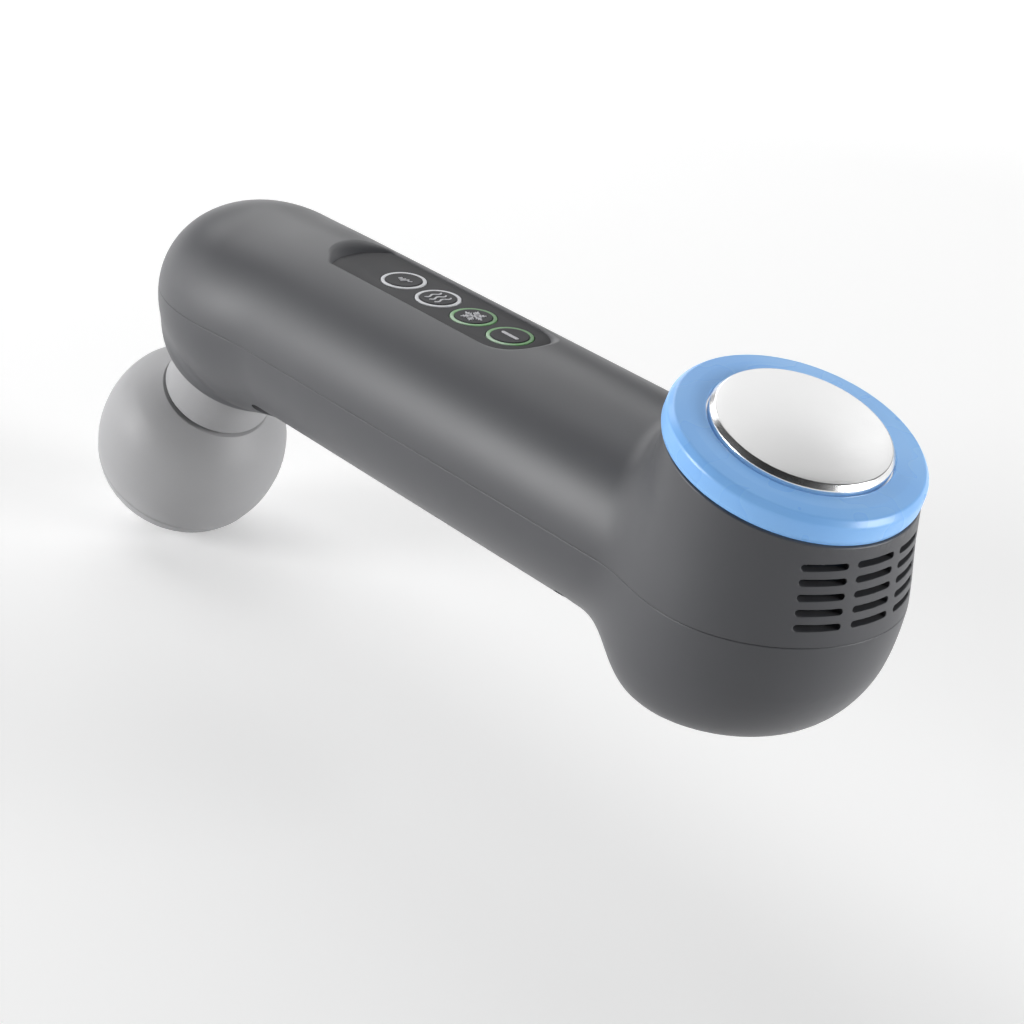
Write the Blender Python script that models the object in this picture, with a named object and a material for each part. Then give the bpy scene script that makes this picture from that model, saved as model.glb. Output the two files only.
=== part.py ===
"""Vibration massager: a ball head that shakes at one end, a hot and cold plate at the other.

The handle runs along X, its axis at y = 0. The control panel faces +Z. The ball head leans down
and out at -X, and the plate leans up and out at +X. x = 0 is the middle of the whole length, and
the ball's lowest point lies on z = 0.
"""

import math

import bmesh
import bpy
import numpy as np
from mathutils import Matrix, Vector

MM = 0.001

# Housing
HANDLE_DIAMETER = 44.0 * MM
HANDLE_LENGTH = 159.5 * MM        # from the centre of the head to the centre of the bulb
HEAD_DIAMETER = 46.8 * MM
HEAD_DROP = 2.0 * MM              # the head's centre lies this far under the handle's axis
HEAD_LEAN = math.radians(31.5)    # of the ball's axis, from the vertical
BOSS_DIAMETER = 38.0 * MM         # the end of the head that the collar comes out of
BOSS_REACH = 18.5 * MM
BOSS_ROUNDING = 5.0 * MM
BULB_DIAMETER = 50.4 * MM         # at the parting line
BULB_DEPTH = 27.8 * MM            # under the parting line
BOWL_SLOPE = 0.287                # how far the bowl leans towards the handle per unit of depth
BOWL_SQUARENESS = 3.7             # exponent of the bowl's section: 2 is an ellipse
WALL = 2.2 * MM
HEAD_BLEND = 4.0 * MM
BULB_BLEND = 6.0 * MM
FIT_GAP = 0.3 * MM                # between pieces that touch on the real object

# Plate end
RING_DIAMETER = 48.2 * MM
RING_TILT = math.radians(15.7)
RING_RISE = 25.2 * MM             # the rim's centre over the handle's axis
RING_AHEAD = 1.0 * MM             # the rim's centre ahead of the bulb's
RING_HEIGHT = 5.5 * MM            # of the light guide over the rim
PLATE_DIAMETER = 34.0 * MM
PLATE_HEIGHT = 7.1 * MM           # the plate's face over the rim
PLATE_FLANGE_HEIGHT = 0.7 * MM
PLATE_FLANGE_WIDTH = 1.9 * MM
GUIDE_LIP = 0.6 * MM
SKIRT_DEPTH = 1.5 * MM
SKIRT_THICKNESS = 1.2 * MM
PAD_THICKNESS = 0.5 * MM
PELTIER_SIDE = 20.0 * MM
PELTIER_THICKNESS = 3.6 * MM
SINK_DIAMETER = 30.0 * MM
SINK_BASE = 3.0 * MM
SINK_FIN_HEIGHT = 9.5 * MM
SINK_FIN_THICKNESS = 1.1 * MM
SINK_FIN_COUNT = 7
LED_BOARD_THICKNESS = 1.2 * MM
LED_SIZE = 1.6 * MM
LED_HEIGHT = 1.0 * MM
LED_COUNT = 8
CARRIER_THICKNESS = 1.6 * MM
FAN_SIDE = 25.0 * MM
FAN_HEIGHT = 7.0 * MM
FAN_BORE = 23.4 * MM
FAN_HUB_DIAMETER = 10.0 * MM
FAN_HUB_WALL = 1.0 * MM
FAN_SHAFT_DIAMETER = 2.0 * MM
FAN_BLADE_THICKNESS = 0.7 * MM
FAN_BLADE_COUNT = 7
FAN_STRUT = 1.4 * MM

# Vent slots in the bulb's end wall
SLOT_ROWS = 5
SLOT_COLUMNS = 3
SLOT_LENGTH = 8.2 * MM
SLOT_HEIGHT = 1.4 * MM
SLOT_PITCH = 2.95 * MM
SLOT_COLUMN_ANGLE = math.radians(25.0)
SLOT_TOP_ROW = 15.9 * MM          # over the handle's axis

# Control panel
PANEL_WIDTH = 14.0 * MM
PANEL_LENGTH = 60.6 * MM
PANEL_END_BULGE = 3.6 * MM
PANEL_FROM_HEAD = 29.7 * MM       # from the head's centre to the panel's near end
PANEL_LEVEL = 20.0 * MM           # the panel's face over the handle's axis
PANEL_THICKNESS = 1.5 * MM
PANEL_BED = 1.9 * MM
PANEL_RAMP = 10.0 * MM
BUTTON_FROM_HEAD = 49.3 * MM      # from the head's centre to the first button
BUTTON_PITCH = 11.5 * MM
BUTTON_DIAMETER = 7.4 * MM
BUTTON_PROUD = 0.25 * MM
BUTTON_TRAVEL = 0.6 * MM
BUTTON_FLANGE_DIAMETER = 9.6 * MM
BUTTON_FLANGE_THICKNESS = 0.8 * MM
LIGHT_RING_DIAMETER = 9.7 * MM
LIGHT_RING_PROUD = 0.1 * MM
SWITCH_SIDE = 4.6 * MM
SWITCH_HEIGHT = 1.5 * MM
PLUNGER_DIAMETER = 2.2 * MM
PLUNGER_HEIGHT = 0.6 * MM
BUTTON_BOARD_WIDTH = 15.0 * MM
BUTTON_BOARD_MARGIN = 8.0 * MM
BUTTON_BOARD_THICKNESS = 1.2 * MM
BOARD_POST_DIAMETER = 3.0 * MM

# Handle internals
CELL_DIAMETER = 18.4 * MM
CELL_FROM_HEAD = 32.0 * MM
CELL_CLEARANCE = 3.5 * MM         # from the cell to the charge board
CELL_DROP = 5.0 * MM              # the cell's axis under the handle's axis
CRADLE_WALL = 1.5 * MM
CRADLE_FOOT_WIDTH = 8.0 * MM
CRADLE_END = 1.5 * MM
MAIN_BOARD_RISE = 6.5 * MM
MAIN_BOARD_OVERHANG = 1.5 * MM    # past each end of the cell
MAIN_BOARD_THICKNESS = 1.6 * MM
CHIP_SIDE = 7.0 * MM
CHIP_HEIGHT = 1.0 * MM
SOCKET_FROM_BULB = 50.0 * MM
SOCKET_WIDTH = 9.0 * MM
SOCKET_DEPTH = 3.2 * MM
SOCKET_LENGTH = 7.4 * MM
SOCKET_WALL = 0.35 * MM
SOCKET_TONGUE = 0.7 * MM
SOCKET_INSET = 0.4 * MM
CHARGE_BOARD_LENGTH = 18.0 * MM
CHARGE_BOARD_WIDTH = 10.0 * MM
CHARGE_BOARD_THICKNESS = 1.2 * MM

# Case screws
SCREW_FROM_ENDS = (20.0 * MM, 38.0 * MM)   # from the head's centre and from the bulb's centre
SCREW_OUT = 13.0 * MM
SCREW_SHANK_DIAMETER = 2.4 * MM
SCREW_HEAD_DIAMETER = 4.6 * MM
SCREW_HEAD_HEIGHT = 1.7 * MM
SCREW_LENGTH = 14.0 * MM
SCREW_BOSS_DIAMETER = 7.6 * MM
SCREW_HEAD_SEAT = 9.0 * MM        # the head's seat under the parting line

# Ball head
BALL_DIAMETER = 44.8 * MM
BALL_REACH = 51.7 * MM            # from the head's centre to the ball's
BALL_WALL = 2.5 * MM
BALL_MOUTH_DIAMETER = 25.8 * MM   # where the ball is cut for the collar
NECK_GAP = 1.0 * MM               # the dark ring between collar and ball
COLLAR_DIAMETERS = (24.4 * MM, 25.6 * MM)
COLLAR_WALL = 2.4 * MM
COLLAR_FLANGE_WIDTH = 2.4 * MM
COLLAR_FLANGE_THICKNESS = 1.6 * MM
BUSH_WALL = 2.2 * MM
BUSH_REACH = 5.0 * MM             # into the collar and into the ball
MOTOR_DIAMETER = 18.0 * MM
MOTOR_LENGTH = 22.0 * MM
MOTOR_SHAFT_DIAMETER = 2.0 * MM
MOTOR_SHAFT_LENGTH = 7.0 * MM
MOTOR_BACK = 14.5 * MM            # from the ball's centre to the motor's closed end
WEIGHT_RADIUS = 7.5 * MM
WEIGHT_THICKNESS = 5.0 * MM
WEIGHT_HUB_DIAMETER = 5.0 * MM
MOUNT_WALL = 1.6 * MM
MOUNT_WIDTH = 7.0 * MM
MOUNT_ARM = 3.0 * MM

# Derived places
HANDLE_R = HANDLE_DIAMETER / 2
BULB_R = BULB_DIAMETER / 2
RING_R = RING_DIAMETER / 2
PLATE_R = PLATE_DIAMETER / 2
BALL_R = BALL_DIAMETER / 2
BALL_END = BALL_REACH * math.sin(HEAD_LEAN) + BALL_R      # from the head's centre, along X
HEAD_X = BALL_END - (BALL_END + HANDLE_LENGTH + BULB_R) / 2
BULB_X = HEAD_X + HANDLE_LENGTH
BALL_DIR = Vector((-math.sin(HEAD_LEAN), 0, -math.cos(HEAD_LEAN)))
LIFT = HEAD_DROP - BALL_DIR.z * BALL_REACH + BALL_R    # the handle axis's height
BODY = Matrix.Translation((0, 0, LIFT))
BALL_FRAME = (Matrix.Translation((HEAD_X, 0, LIFT - HEAD_DROP))
              @ Matrix.Rotation(math.pi + HEAD_LEAN, 4, "Y"))
PLATE_FRAME = (Matrix.Translation((BULB_X + RING_AHEAD, 0, LIFT + RING_RISE))
               @ Matrix.Rotation(RING_TILT, 4, "Y"))
PANEL_X = HEAD_X + PANEL_FROM_HEAD + PANEL_LENGTH / 2
BED_TOP = PANEL_LEVEL - PANEL_THICKNESS - FIT_GAP
BED_BOTTOM = BED_TOP - PANEL_BED
BUTTON_X = [HEAD_X + BUTTON_FROM_HEAD + i * BUTTON_PITCH for i in range(4)]
BUTTON_NAMES = ("mode", "heat", "cool", "power")
LIGHT_RING_BORE = BUTTON_DIAMETER + 2 * FIT_GAP
PANEL_HOLE = LIGHT_RING_DIAMETER + 2 * FIT_GAP
BED_HOLE = BUTTON_DIAMETER + 2 * FIT_GAP
FLANGE_TOP = BED_BOTTOM - FIT_GAP
FLANGE_BOTTOM = FLANGE_TOP - BUTTON_FLANGE_THICKNESS
PLUNGER_TOP = FLANGE_BOTTOM - BUTTON_TRAVEL - FIT_GAP
BUTTON_BOARD_TOP = PLUNGER_TOP - PLUNGER_HEIGHT - SWITCH_HEIGHT - FIT_GAP
CELL_LENGTH = (HANDLE_LENGTH - CELL_FROM_HEAD - SOCKET_FROM_BULB - CHARGE_BOARD_LENGTH / 2
               - CELL_CLEARANCE)
CELL_X = HEAD_X + CELL_FROM_HEAD + CELL_LENGTH / 2
MAIN_BOARD_LENGTH = CELL_LENGTH + 2 * MAIN_BOARD_OVERHANG
CELL_R = CELL_DIAMETER / 2
CRADLE_R = CELL_R + FIT_GAP
INNER_R = HANDLE_R - WALL
SOCKET_X = BULB_X - SOCKET_FROM_BULB
SCREW_PLACES = [(x, y) for x in (HEAD_X + SCREW_FROM_ENDS[0], BULB_X - SCREW_FROM_ENDS[1])
                for y in (-SCREW_OUT, SCREW_OUT)]
PLATE_BOTTOM = RING_HEIGHT - GUIDE_LIP - FIT_GAP - PLATE_FLANGE_HEIGHT
PAD_TOP = PLATE_BOTTOM - FIT_GAP
PELTIER_TOP = PAD_TOP - PAD_THICKNESS - FIT_GAP
SINK_TOP = PELTIER_TOP - PELTIER_THICKNESS - FIT_GAP
SINK_BOTTOM = SINK_TOP - SINK_BASE - SINK_FIN_HEIGHT
FAN_TOP = SINK_BOTTOM - FIT_GAP
SKIRT_R = RING_R - WALL / math.cos(RING_TILT) - SKIRT_DEPTH * math.tan(RING_TILT) - FIT_GAP * 1.5
CARRIER_TOP = -SKIRT_DEPTH - FIT_GAP
CARRIER_R = SKIRT_R - (FIT_GAP + CARRIER_THICKNESS) * math.tan(RING_TILT)
MOUTH_R = BALL_MOUTH_DIAMETER / 2
MOUTH_TO_CENTRE = math.sqrt(BALL_R ** 2 - MOUTH_R ** 2)
COLLAR_END = BALL_REACH - MOUTH_TO_CENTRE - NECK_GAP
BUSH_R = COLLAR_DIAMETERS[0] / 2 - COLLAR_WALL - FIT_GAP
BOSS_OPENING_R = COLLAR_DIAMETERS[0] / 2 + FIT_GAP

# How finely the curves are cut
SKIN_AROUND = 32
CAVITY_AROUND = 20
CAVITY_STEP = 2                   # the cavity follows every second loop of the skin
LATHE_AROUND = 36
SMALL_AROUND = 16

# Where the loops of rays that find the skin run. The angles are in degrees from the loop's axis.
BULB_ANGLES = (14, 28, 42, 56, 68, 79, 89, 98, 106, 113, 119, 124, 129, 135)
HANDLE_SHARES = (0.03, 0.07, 0.13, 0.22, 0.35, 0.56, 0.78, 0.92, 1.0)
HEAD_TURN_SHARES = (0.14, 0.28, 0.42, 0.56, 0.7, 0.82, 0.92, 1.0)
HEAD_ANGLES = (97, 104, 110, 116, 125, 145)
CONED_SHARE = 0.35                # of the handle's stretch, where the loops open from a cone
HANDLE_STOP_SHARE = 0.46          # of the head's diameter, from its centre
PIVOT_SHARE = 1.18                # of the handle's radius, from its axis to the turn's pivot


# Helpers

def clear_scene():
    for obj in list(bpy.data.objects):
        bpy.data.objects.remove(obj, do_unlink=True)


def material(name, colour, roughness, metallic=0.0, alpha=1.0):
    mat = bpy.data.materials.new(name)
    mat.use_nodes = True
    shader = mat.node_tree.nodes["Principled BSDF"]
    shader.inputs["Base Color"].default_value = (*colour, 1)
    shader.inputs["Roughness"].default_value = roughness
    shader.inputs["Metallic"].default_value = metallic
    shader.inputs["Alpha"].default_value = alpha
    mat.diffuse_color = (*colour, alpha)
    return mat


def solid(name, points, faces, frame=BODY, flat_faces=False):
    """An object from points and faces in its frame, with its normals facing out."""
    bm = bmesh.new()
    verts = [bm.verts.new(p) for p in points]
    for face in faces:
        bm.faces.new([verts[i] for i in face])
    bmesh.ops.recalc_face_normals(bm, faces=bm.faces)
    if flat_faces:
        bmesh.ops.triangulate(bm, faces=bm.faces)
    mesh = bpy.data.meshes.new(name)
    bm.to_mesh(mesh)
    bm.free()
    obj = bpy.data.objects.new(name, mesh)
    bpy.context.scene.collection.objects.link(obj)
    obj.matrix_world = frame
    return obj


def lathe(name, profile, frame=BODY, around=LATHE_AROUND, closed=False):
    """Turns (radius, height) points about the frame's Z. A closed profile makes a ring."""
    points, rows = [], []
    for r, z in profile:
        if r <= 0:
            rows.append([len(points)])
            points.append((0, 0, z))
            continue
        rows.append(list(range(len(points), len(points) + around)))
        for i in range(around):
            a = 2 * math.pi * i / around
            points.append((r * math.cos(a), r * math.sin(a), z))
    faces = []
    pairs = list(zip(rows, rows[1:])) + ([(rows[-1], rows[0])] if closed else [])
    for low, high in pairs:
        for i in range(around):
            j = (i + 1) % around
            if len(low) == 1 and len(high) == 1:
                continue
            if len(low) == 1:
                faces.append((low[0], high[j], high[i]))
            elif len(high) == 1:
                faces.append((low[i], low[j], high[0]))
            else:
                faces.append((low[i], low[j], high[j], high[i]))
    return solid(name, points, faces, frame)


def disc(name, r, z0, z1, frame=BODY, around=SMALL_AROUND):
    return lathe(name, [(0, z0), (r, z0), (r, z1), (0, z1)], frame, around)


def tube(name, r_in, r_out, z0, z1, frame=BODY, around=SMALL_AROUND):
    return lathe(name, [(r_in, z0), (r_out, z0), (r_out, z1), (r_in, z1)], frame, around, True)


def prism(name, outline, z0, z1, frame=BODY):
    """Raises a closed (x, y) outline from z0 to z1 in the frame."""
    n = len(outline)
    points = [(x, y, z0) for x, y in outline] + [(x, y, z1) for x, y in outline]
    faces = [tuple(range(n)), tuple(range(n, 2 * n))]
    faces += [(i, (i + 1) % n, n + (i + 1) % n, n + i) for i in range(n)]
    return solid(name, points, faces, frame)


def box(name, low, high, frame=BODY):
    (x0, y0, z0), (x1, y1, z1) = low, high
    return prism(name, [(x0, y0), (x1, y0), (x1, y1), (x0, y1)], z0, z1, frame)


def arc(cx, cy, r, start, end, steps):
    """Points on a circle, with angles in degrees."""
    return [(cx + r * math.cos(math.radians(start + (end - start) * i / steps)),
             cy + r * math.sin(math.radians(start + (end - start) * i / steps)))
            for i in range(steps + 1)]


def boolean(target, operation, *tools):
    """Cuts or joins the tools into the target, and removes them."""
    for tool in tools:
        mod = target.modifiers.new("Boolean", "BOOLEAN")
        mod.operation = operation
        mod.solver = "EXACT"
        mod.object = tool
        bpy.context.view_layer.update()
        graph = bpy.context.evaluated_depsgraph_get()
        mesh = bpy.data.meshes.new_from_object(target.evaluated_get(graph))
        target.modifiers.clear()
        old, target.data = target.data, mesh
        bpy.data.meshes.remove(old)
        bpy.data.objects.remove(tool, do_unlink=True)
    return target


def joined(name, objects):
    """One cutter from several shapes that don't meet."""
    bm = bmesh.new()
    for obj in objects:
        start = len(bm.verts)
        bm.from_mesh(obj.data)
        bm.verts.ensure_lookup_table()
        bmesh.ops.transform(bm, matrix=obj.matrix_world, verts=bm.verts[start:])
        bpy.data.objects.remove(obj, do_unlink=True)
    mesh = bpy.data.meshes.new(name)
    bm.to_mesh(mesh)
    bm.free()
    obj = bpy.data.objects.new(name, mesh)
    bpy.context.scene.collection.objects.link(obj)
    return obj


def finish(obj, mat, smooth=35):
    """Gives the piece its material and its shading, and drops slivers left by the cuts."""
    bm = bmesh.new()
    bm.from_mesh(obj.data)
    bmesh.ops.remove_doubles(bm, verts=bm.verts, dist=FIT_GAP / 100)
    bmesh.ops.dissolve_limit(bm, angle_limit=math.radians(0.05), verts=bm.verts, edges=bm.edges)
    bm.to_mesh(obj.data)
    bm.free()
    obj.data.name = obj.name
    obj.data.materials.clear()
    obj.data.materials.append(mat)
    obj.data.shade_smooth()
    obj.data.set_sharp_from_angle(angle=math.radians(smooth))
    return obj


def move_origin(obj, place):
    """Puts a moving piece's origin on its joint axis, with the shape left where it is."""
    shift = obj.matrix_world.inverted() @ Vector(place)
    obj.data.transform(Matrix.Translation(-shift))
    obj.matrix_world = obj.matrix_world @ Matrix.Translation(shift)


# Housing: one flowing skin, found by casting rays from a line inside it

def smooth_min(a, b, k):
    h = np.clip(0.5 + 0.5 * (b - a) / k, 0, 1)
    return b * (1 - h) + a * h - k * h * (1 - h)


def skin_field(p):
    """How far each point lies outside the housing, below zero inside it."""
    x, y, z = p[:, 0], p[:, 1], p[:, 2]
    along = np.clip(x, HEAD_X, BULB_X)
    handle = np.sqrt((x - along) ** 2 + y ** 2 + z ** 2) - HANDLE_R
    hx, hz = x - HEAD_X, z + HEAD_DROP
    head = np.sqrt(hx ** 2 + y ** 2 + hz ** 2) - HEAD_DIAMETER / 2
    t = hx * BALL_DIR.x + hz * BALL_DIR.z
    out = np.sqrt(np.maximum(hx ** 2 + y ** 2 + hz ** 2 - t ** 2, 0))
    qr = out - (BOSS_DIAMETER / 2 - BOSS_ROUNDING)
    qt = np.abs(t) - (BOSS_REACH - BOSS_ROUNDING)
    boss = (np.hypot(np.maximum(qr, 0), np.maximum(qt, 0))
            + np.minimum(np.maximum(qr, qt), 0) - BOSS_ROUNDING)
    rise = np.clip(z / RING_RISE, 0, 2)
    rx = BULB_R + (RING_R * math.cos(RING_TILT) - BULB_R) * rise
    ry = BULB_R + (RING_R - BULB_R) * rise
    cx = BULB_X + RING_AHEAD * rise + BOWL_SLOPE * np.minimum(z, 0)
    across = np.hypot((x - cx) / rx, y / ry)
    low = np.abs(np.minimum(z, 0)) / BULB_DEPTH
    high = np.maximum(z, 0) / (2 * RING_RISE)
    bowl = (across ** BOWL_SQUARENESS + low ** BOWL_SQUARENESS) ** (1 / BOWL_SQUARENESS)
    wall = (across ** 12 + high ** 12) ** (1 / 12)
    bulb = (np.where(z < 0, bowl, wall) - 1) * np.minimum(rx, ry)
    whole = smooth_min(smooth_min(handle, np.minimum(head, boss), HEAD_BLEND), bulb, BULB_BLEND)
    return np.maximum(whole, t - BOSS_REACH)


def ray_loops():
    """Loops of rays that walk from the bulb's far wall along the handle and round into the head.

    Each loop is an origin, the axis its rays are coned about, the up direction across it and the
    cone's angle. They are placed by shares, so the loops follow the housing when it is resized.
    """
    loops = []
    ahead, up = Vector((1, 0, 0)), Vector((0, 0, 1))
    centre = Vector((BULB_X - RING_AHEAD * 2, 0, 0))
    for angle in BULB_ANGLES:
        loops.append((centre, ahead, up, math.radians(angle)))
    start = centre.x - HANDLE_R
    stop = HEAD_X + HEAD_DIAMETER * HANDLE_STOP_SHARE
    for share in HANDLE_SHARES:
        cone = max(0.0, 1 - share / CONED_SHARE)
        x = start + (stop - start) * share
        loops.append((Vector((x + HANDLE_R * cone, 0, 0)), ahead, up,
                      math.pi / 2 + math.atan(cone)))
    pivot_drop = HANDLE_R * PIVOT_SHARE
    pivot = Vector((stop, 0, -pivot_drop))
    head = Vector((HEAD_X, 0, -HEAD_DROP))
    for share in HEAD_TURN_SHARES:
        b = (math.pi / 2 - HEAD_LEAN) * share
        axis = Vector((-math.cos(b), 0, -math.sin(b)))
        lift = Vector((-math.sin(b), 0, math.cos(b)))
        reach = (head - pivot).dot(lift) * share + pivot_drop * (1 - share)
        origin = pivot + lift * reach
        loops.append((origin, -axis, lift, math.pi / 2))
    for angle in HEAD_ANGLES:
        loops.append((origin, -axis, lift, math.radians(angle)))
    return loops


def skin(name, level, around, step=1):
    """The closed skin at one depth inside the housing's surface, on every loop or every few."""
    loops = ray_loops()
    loops = loops[:-1:step] + loops[-1:]
    origins, rays = [], []
    side = np.array((0.0, 1.0, 0.0))
    first, last = loops[0], loops[-1]
    origins.append(np.array(first[0]))
    rays.append(np.array(first[1]))
    for origin, axis, up, cone in loops:
        for i in range(around):
            a = 2 * math.pi * (i + 0.5) / around
            across = math.cos(a) * np.array(up) + math.sin(a) * side
            origins.append(np.array(origin))
            rays.append(math.cos(cone) * np.array(axis) + math.sin(cone) * across)
    origins.append(np.array(last[0]))
    rays.append(-np.array(last[1]))
    origins, rays = np.array(origins), np.array(rays)
    near, far = np.zeros(len(rays)), np.full(len(rays), HANDLE_LENGTH)
    for _ in range(40):
        middle = (near + far) / 2
        inside = skin_field(origins + rays * middle[:, None]) < level
        near, far = np.where(inside, middle, near), np.where(inside, far, middle)
    points = [tuple(p) for p in origins + rays * near[:, None]]
    faces = [(0, 1 + (i + 1) % around, 1 + i) for i in range(around)]
    for j in range(len(loops) - 1):
        a, b = 1 + j * around, 1 + (j + 1) * around
        faces += [(a + i, a + (i + 1) % around, b + (i + 1) % around, b + i)
                  for i in range(around)]
    end, a = len(points) - 1, 1 + (len(loops) - 1) * around
    faces += [(a + i, a + (i + 1) % around, end) for i in range(around)]
    return solid(name, points, faces, flat_faces=True)


def panel_outline(grow):
    """The panel's outline: straight sides and bulged ends, grown by a clearance all round."""
    half = PANEL_WIDTH / 2
    r = (half ** 2 + PANEL_END_BULGE ** 2) / (2 * PANEL_END_BULGE)
    reach = PANEL_LENGTH / 2 - r
    opening = math.degrees(math.asin(half / r))
    right = arc(PANEL_X + reach, 0, r + grow, -opening, opening, 12)
    left = arc(PANEL_X - reach, 0, r + grow, 180 - opening, 180 + opening, 12)
    return right + left


def shell_blank(name, *kept):
    """The whole housing, hollow but for the boxes that are kept solid."""
    outer = skin(name, 0.0, SKIN_AROUND)
    cavity = skin("cavity", -WALL, CAVITY_AROUND, CAVITY_STEP)
    boolean(cavity, "DIFFERENCE", *kept)
    return boolean(outer, "DIFFERENCE", cavity)


def inside_wall(pieces):
    """The pieces as one, ended halfway through the housing's wall."""
    middle = skin("middle", -WALL / 2, CAVITY_AROUND, CAVITY_STEP)
    return boolean(joined("pieces", pieces), "INTERSECT", middle)


def vent_cutters():
    """Round-ended slots that point straight out through the bulb's end wall."""
    cutters = []
    r = SLOT_HEIGHT / 2
    half = SLOT_LENGTH / 2 - r
    outline = arc(half, 0, r, -90, 90, 3) + arc(-half, 0, r, 90, 270, 3)
    for column in range(SLOT_COLUMNS):
        turn = (column - (SLOT_COLUMNS - 1) / 2) * SLOT_COLUMN_ANGLE
        for row in range(SLOT_ROWS):
            z = SLOT_TOP_ROW - row * SLOT_PITCH
            frame = (Matrix.Translation((BULB_X, 0, LIFT + z)) @ Matrix.Rotation(turn, 4, "Z")
                     @ Matrix.Rotation(math.pi / 2, 4, "Y") @ Matrix.Rotation(math.pi / 2, 4, "Z"))
            cutters.append(prism("slot", outline, min(BULB_R, RING_R) - 2 * WALL,
                                 max(BULB_R, RING_R) + WALL, frame))
    return joined("slots", cutters)


def build_upper_shell(mat):
    bed = box("bed", (PANEL_X - PANEL_LENGTH / 2 - WALL, -HANDLE_R, BED_BOTTOM),
              (PANEL_X + PANEL_LENGTH / 2 + PANEL_RAMP, HANDLE_R, HANDLE_DIAMETER))
    shell = shell_blank("upper_shell", bed)
    span = HANDLE_LENGTH * 2
    below = box("below", (-span, -span, -span), (span, span, FIT_GAP / 2))
    above = box("above", (-span, -span, 0), (span, span, span), PLATE_FRAME)
    boolean(shell, "DIFFERENCE", below, above)
    bosses = [disc("boss", SCREW_BOSS_DIAMETER / 2, FIT_GAP, HANDLE_R,
                   BODY @ Matrix.Translation((x, y, 0)), 12) for x, y in SCREW_PLACES]
    posts = []
    board_end = (BUTTON_X[3] - BUTTON_X[0]) / 2 + BUTTON_BOARD_MARGIN - BOARD_POST_DIAMETER
    middle = (BUTTON_X[3] + BUTTON_X[0]) / 2
    for side in (-1, 1):
        for x in (middle - board_end, middle + board_end):
            y = side * (BUTTON_BOARD_WIDTH - BOARD_POST_DIAMETER) / 2
            posts.append(disc("post", BOARD_POST_DIAMETER / 2, BUTTON_BOARD_TOP + FIT_GAP,
                              BED_BOTTOM + PANEL_BED / 2, BODY @ Matrix.Translation((x, y, 0)), 12))
    boolean(shell, "UNION", inside_wall(bosses), joined("posts", posts))
    bores = [disc("bore", SCREW_SHANK_DIAMETER / 2 + FIT_GAP, 0, SCREW_LENGTH - SCREW_HEAD_SEAT
                  + FIT_GAP * 2, BODY @ Matrix.Translation((x, y, 0)), 12)
             for x, y in SCREW_PLACES]
    pocket = prism("pocket", panel_outline(FIT_GAP), BED_TOP, HANDLE_DIAMETER)
    half = PANEL_WIDTH / 2 + FIT_GAP
    end = PANEL_X + PANEL_LENGTH / 2
    ramp = prism("ramp", [(end - PANEL_END_BULGE, PANEL_LEVEL),
                          (end + PANEL_RAMP, HANDLE_R + FIT_GAP),
                          (end + PANEL_RAMP, HANDLE_DIAMETER),
                          (end - PANEL_END_BULGE, HANDLE_DIAMETER)], -half, half,
                 BODY @ Matrix.Rotation(math.pi / 2, 4, "X"))
    holes = [disc("hole", BED_HOLE / 2, BED_BOTTOM - WALL, PANEL_LEVEL,
                  BODY @ Matrix.Translation((x, 0, 0))) for x in BUTTON_X]
    seat = disc("seat", SKIRT_R + FIT_GAP, CARRIER_TOP - CARRIER_THICKNESS - FIT_GAP, RING_HEIGHT,
                PLATE_FRAME, LATHE_AROUND)
    boolean(shell, "DIFFERENCE", joined("bores", bores), pocket, ramp, joined("holes", holes),
            seat, vent_cutters())
    return finish(shell, mat)


def build_lower_shell(mat):
    shell = shell_blank("lower_shell")
    span = HANDLE_LENGTH * 2
    above = box("above", (-span, -span, -FIT_GAP / 2), (span, span, span))
    mouth = disc("mouth", BOSS_OPENING_R, BOSS_REACH - WALL * 2, BOSS_REACH + WALL,
                 BALL_FRAME, LATHE_AROUND)
    boolean(shell, "DIFFERENCE", above)
    bosses = [disc("boss", SCREW_BOSS_DIAMETER / 2, -HANDLE_R, -FIT_GAP,
                   BODY @ Matrix.Translation((x, y, 0)), 12) for x, y in SCREW_PLACES]
    board_z = -INNER_R + SOCKET_LENGTH - WALL + SOCKET_INSET
    posts = [disc("post", BOARD_POST_DIAMETER / 2, -HANDLE_R, board_z,
                  BODY @ Matrix.Translation((SOCKET_X + s * (CHARGE_BOARD_LENGTH
                                                           - BOARD_POST_DIAMETER) / 2, 0, 0)), 12)
             for s in (-1, 1)]
    boolean(shell, "UNION", *[inside_wall([piece]) for piece in bosses + posts])
    bore, well = SCREW_SHANK_DIAMETER / 2 + FIT_GAP, SCREW_HEAD_DIAMETER / 2 + FIT_GAP
    stepped = [(0, -HANDLE_R), (well, -HANDLE_R), (well, -SCREW_HEAD_SEAT),
               (bore, -SCREW_HEAD_SEAT), (bore, 0), (0, 0)]
    bores = [lathe("bore", stepped, BODY @ Matrix.Translation((x, y, 0)), SMALL_AROUND)
             for x, y in SCREW_PLACES]
    slot = prism("socket_hole", rounded_rectangle(SOCKET_WIDTH + 2 * FIT_GAP,
                                                  SOCKET_DEPTH + 2 * FIT_GAP),
                 -HANDLE_R - WALL, -INNER_R + WALL, BODY @ Matrix.Translation((SOCKET_X, 0, 0)))
    boolean(shell, "DIFFERENCE", *bores, slot, mouth)
    return finish(shell, mat)


def rounded_rectangle(width, height):
    """A rectangle with half-round short ends."""
    r = height / 2
    half = width / 2 - r
    return arc(half, 0, r, -90, 90, 6) + arc(-half, 0, r, 90, 270, 6)


# Control panel

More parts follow.
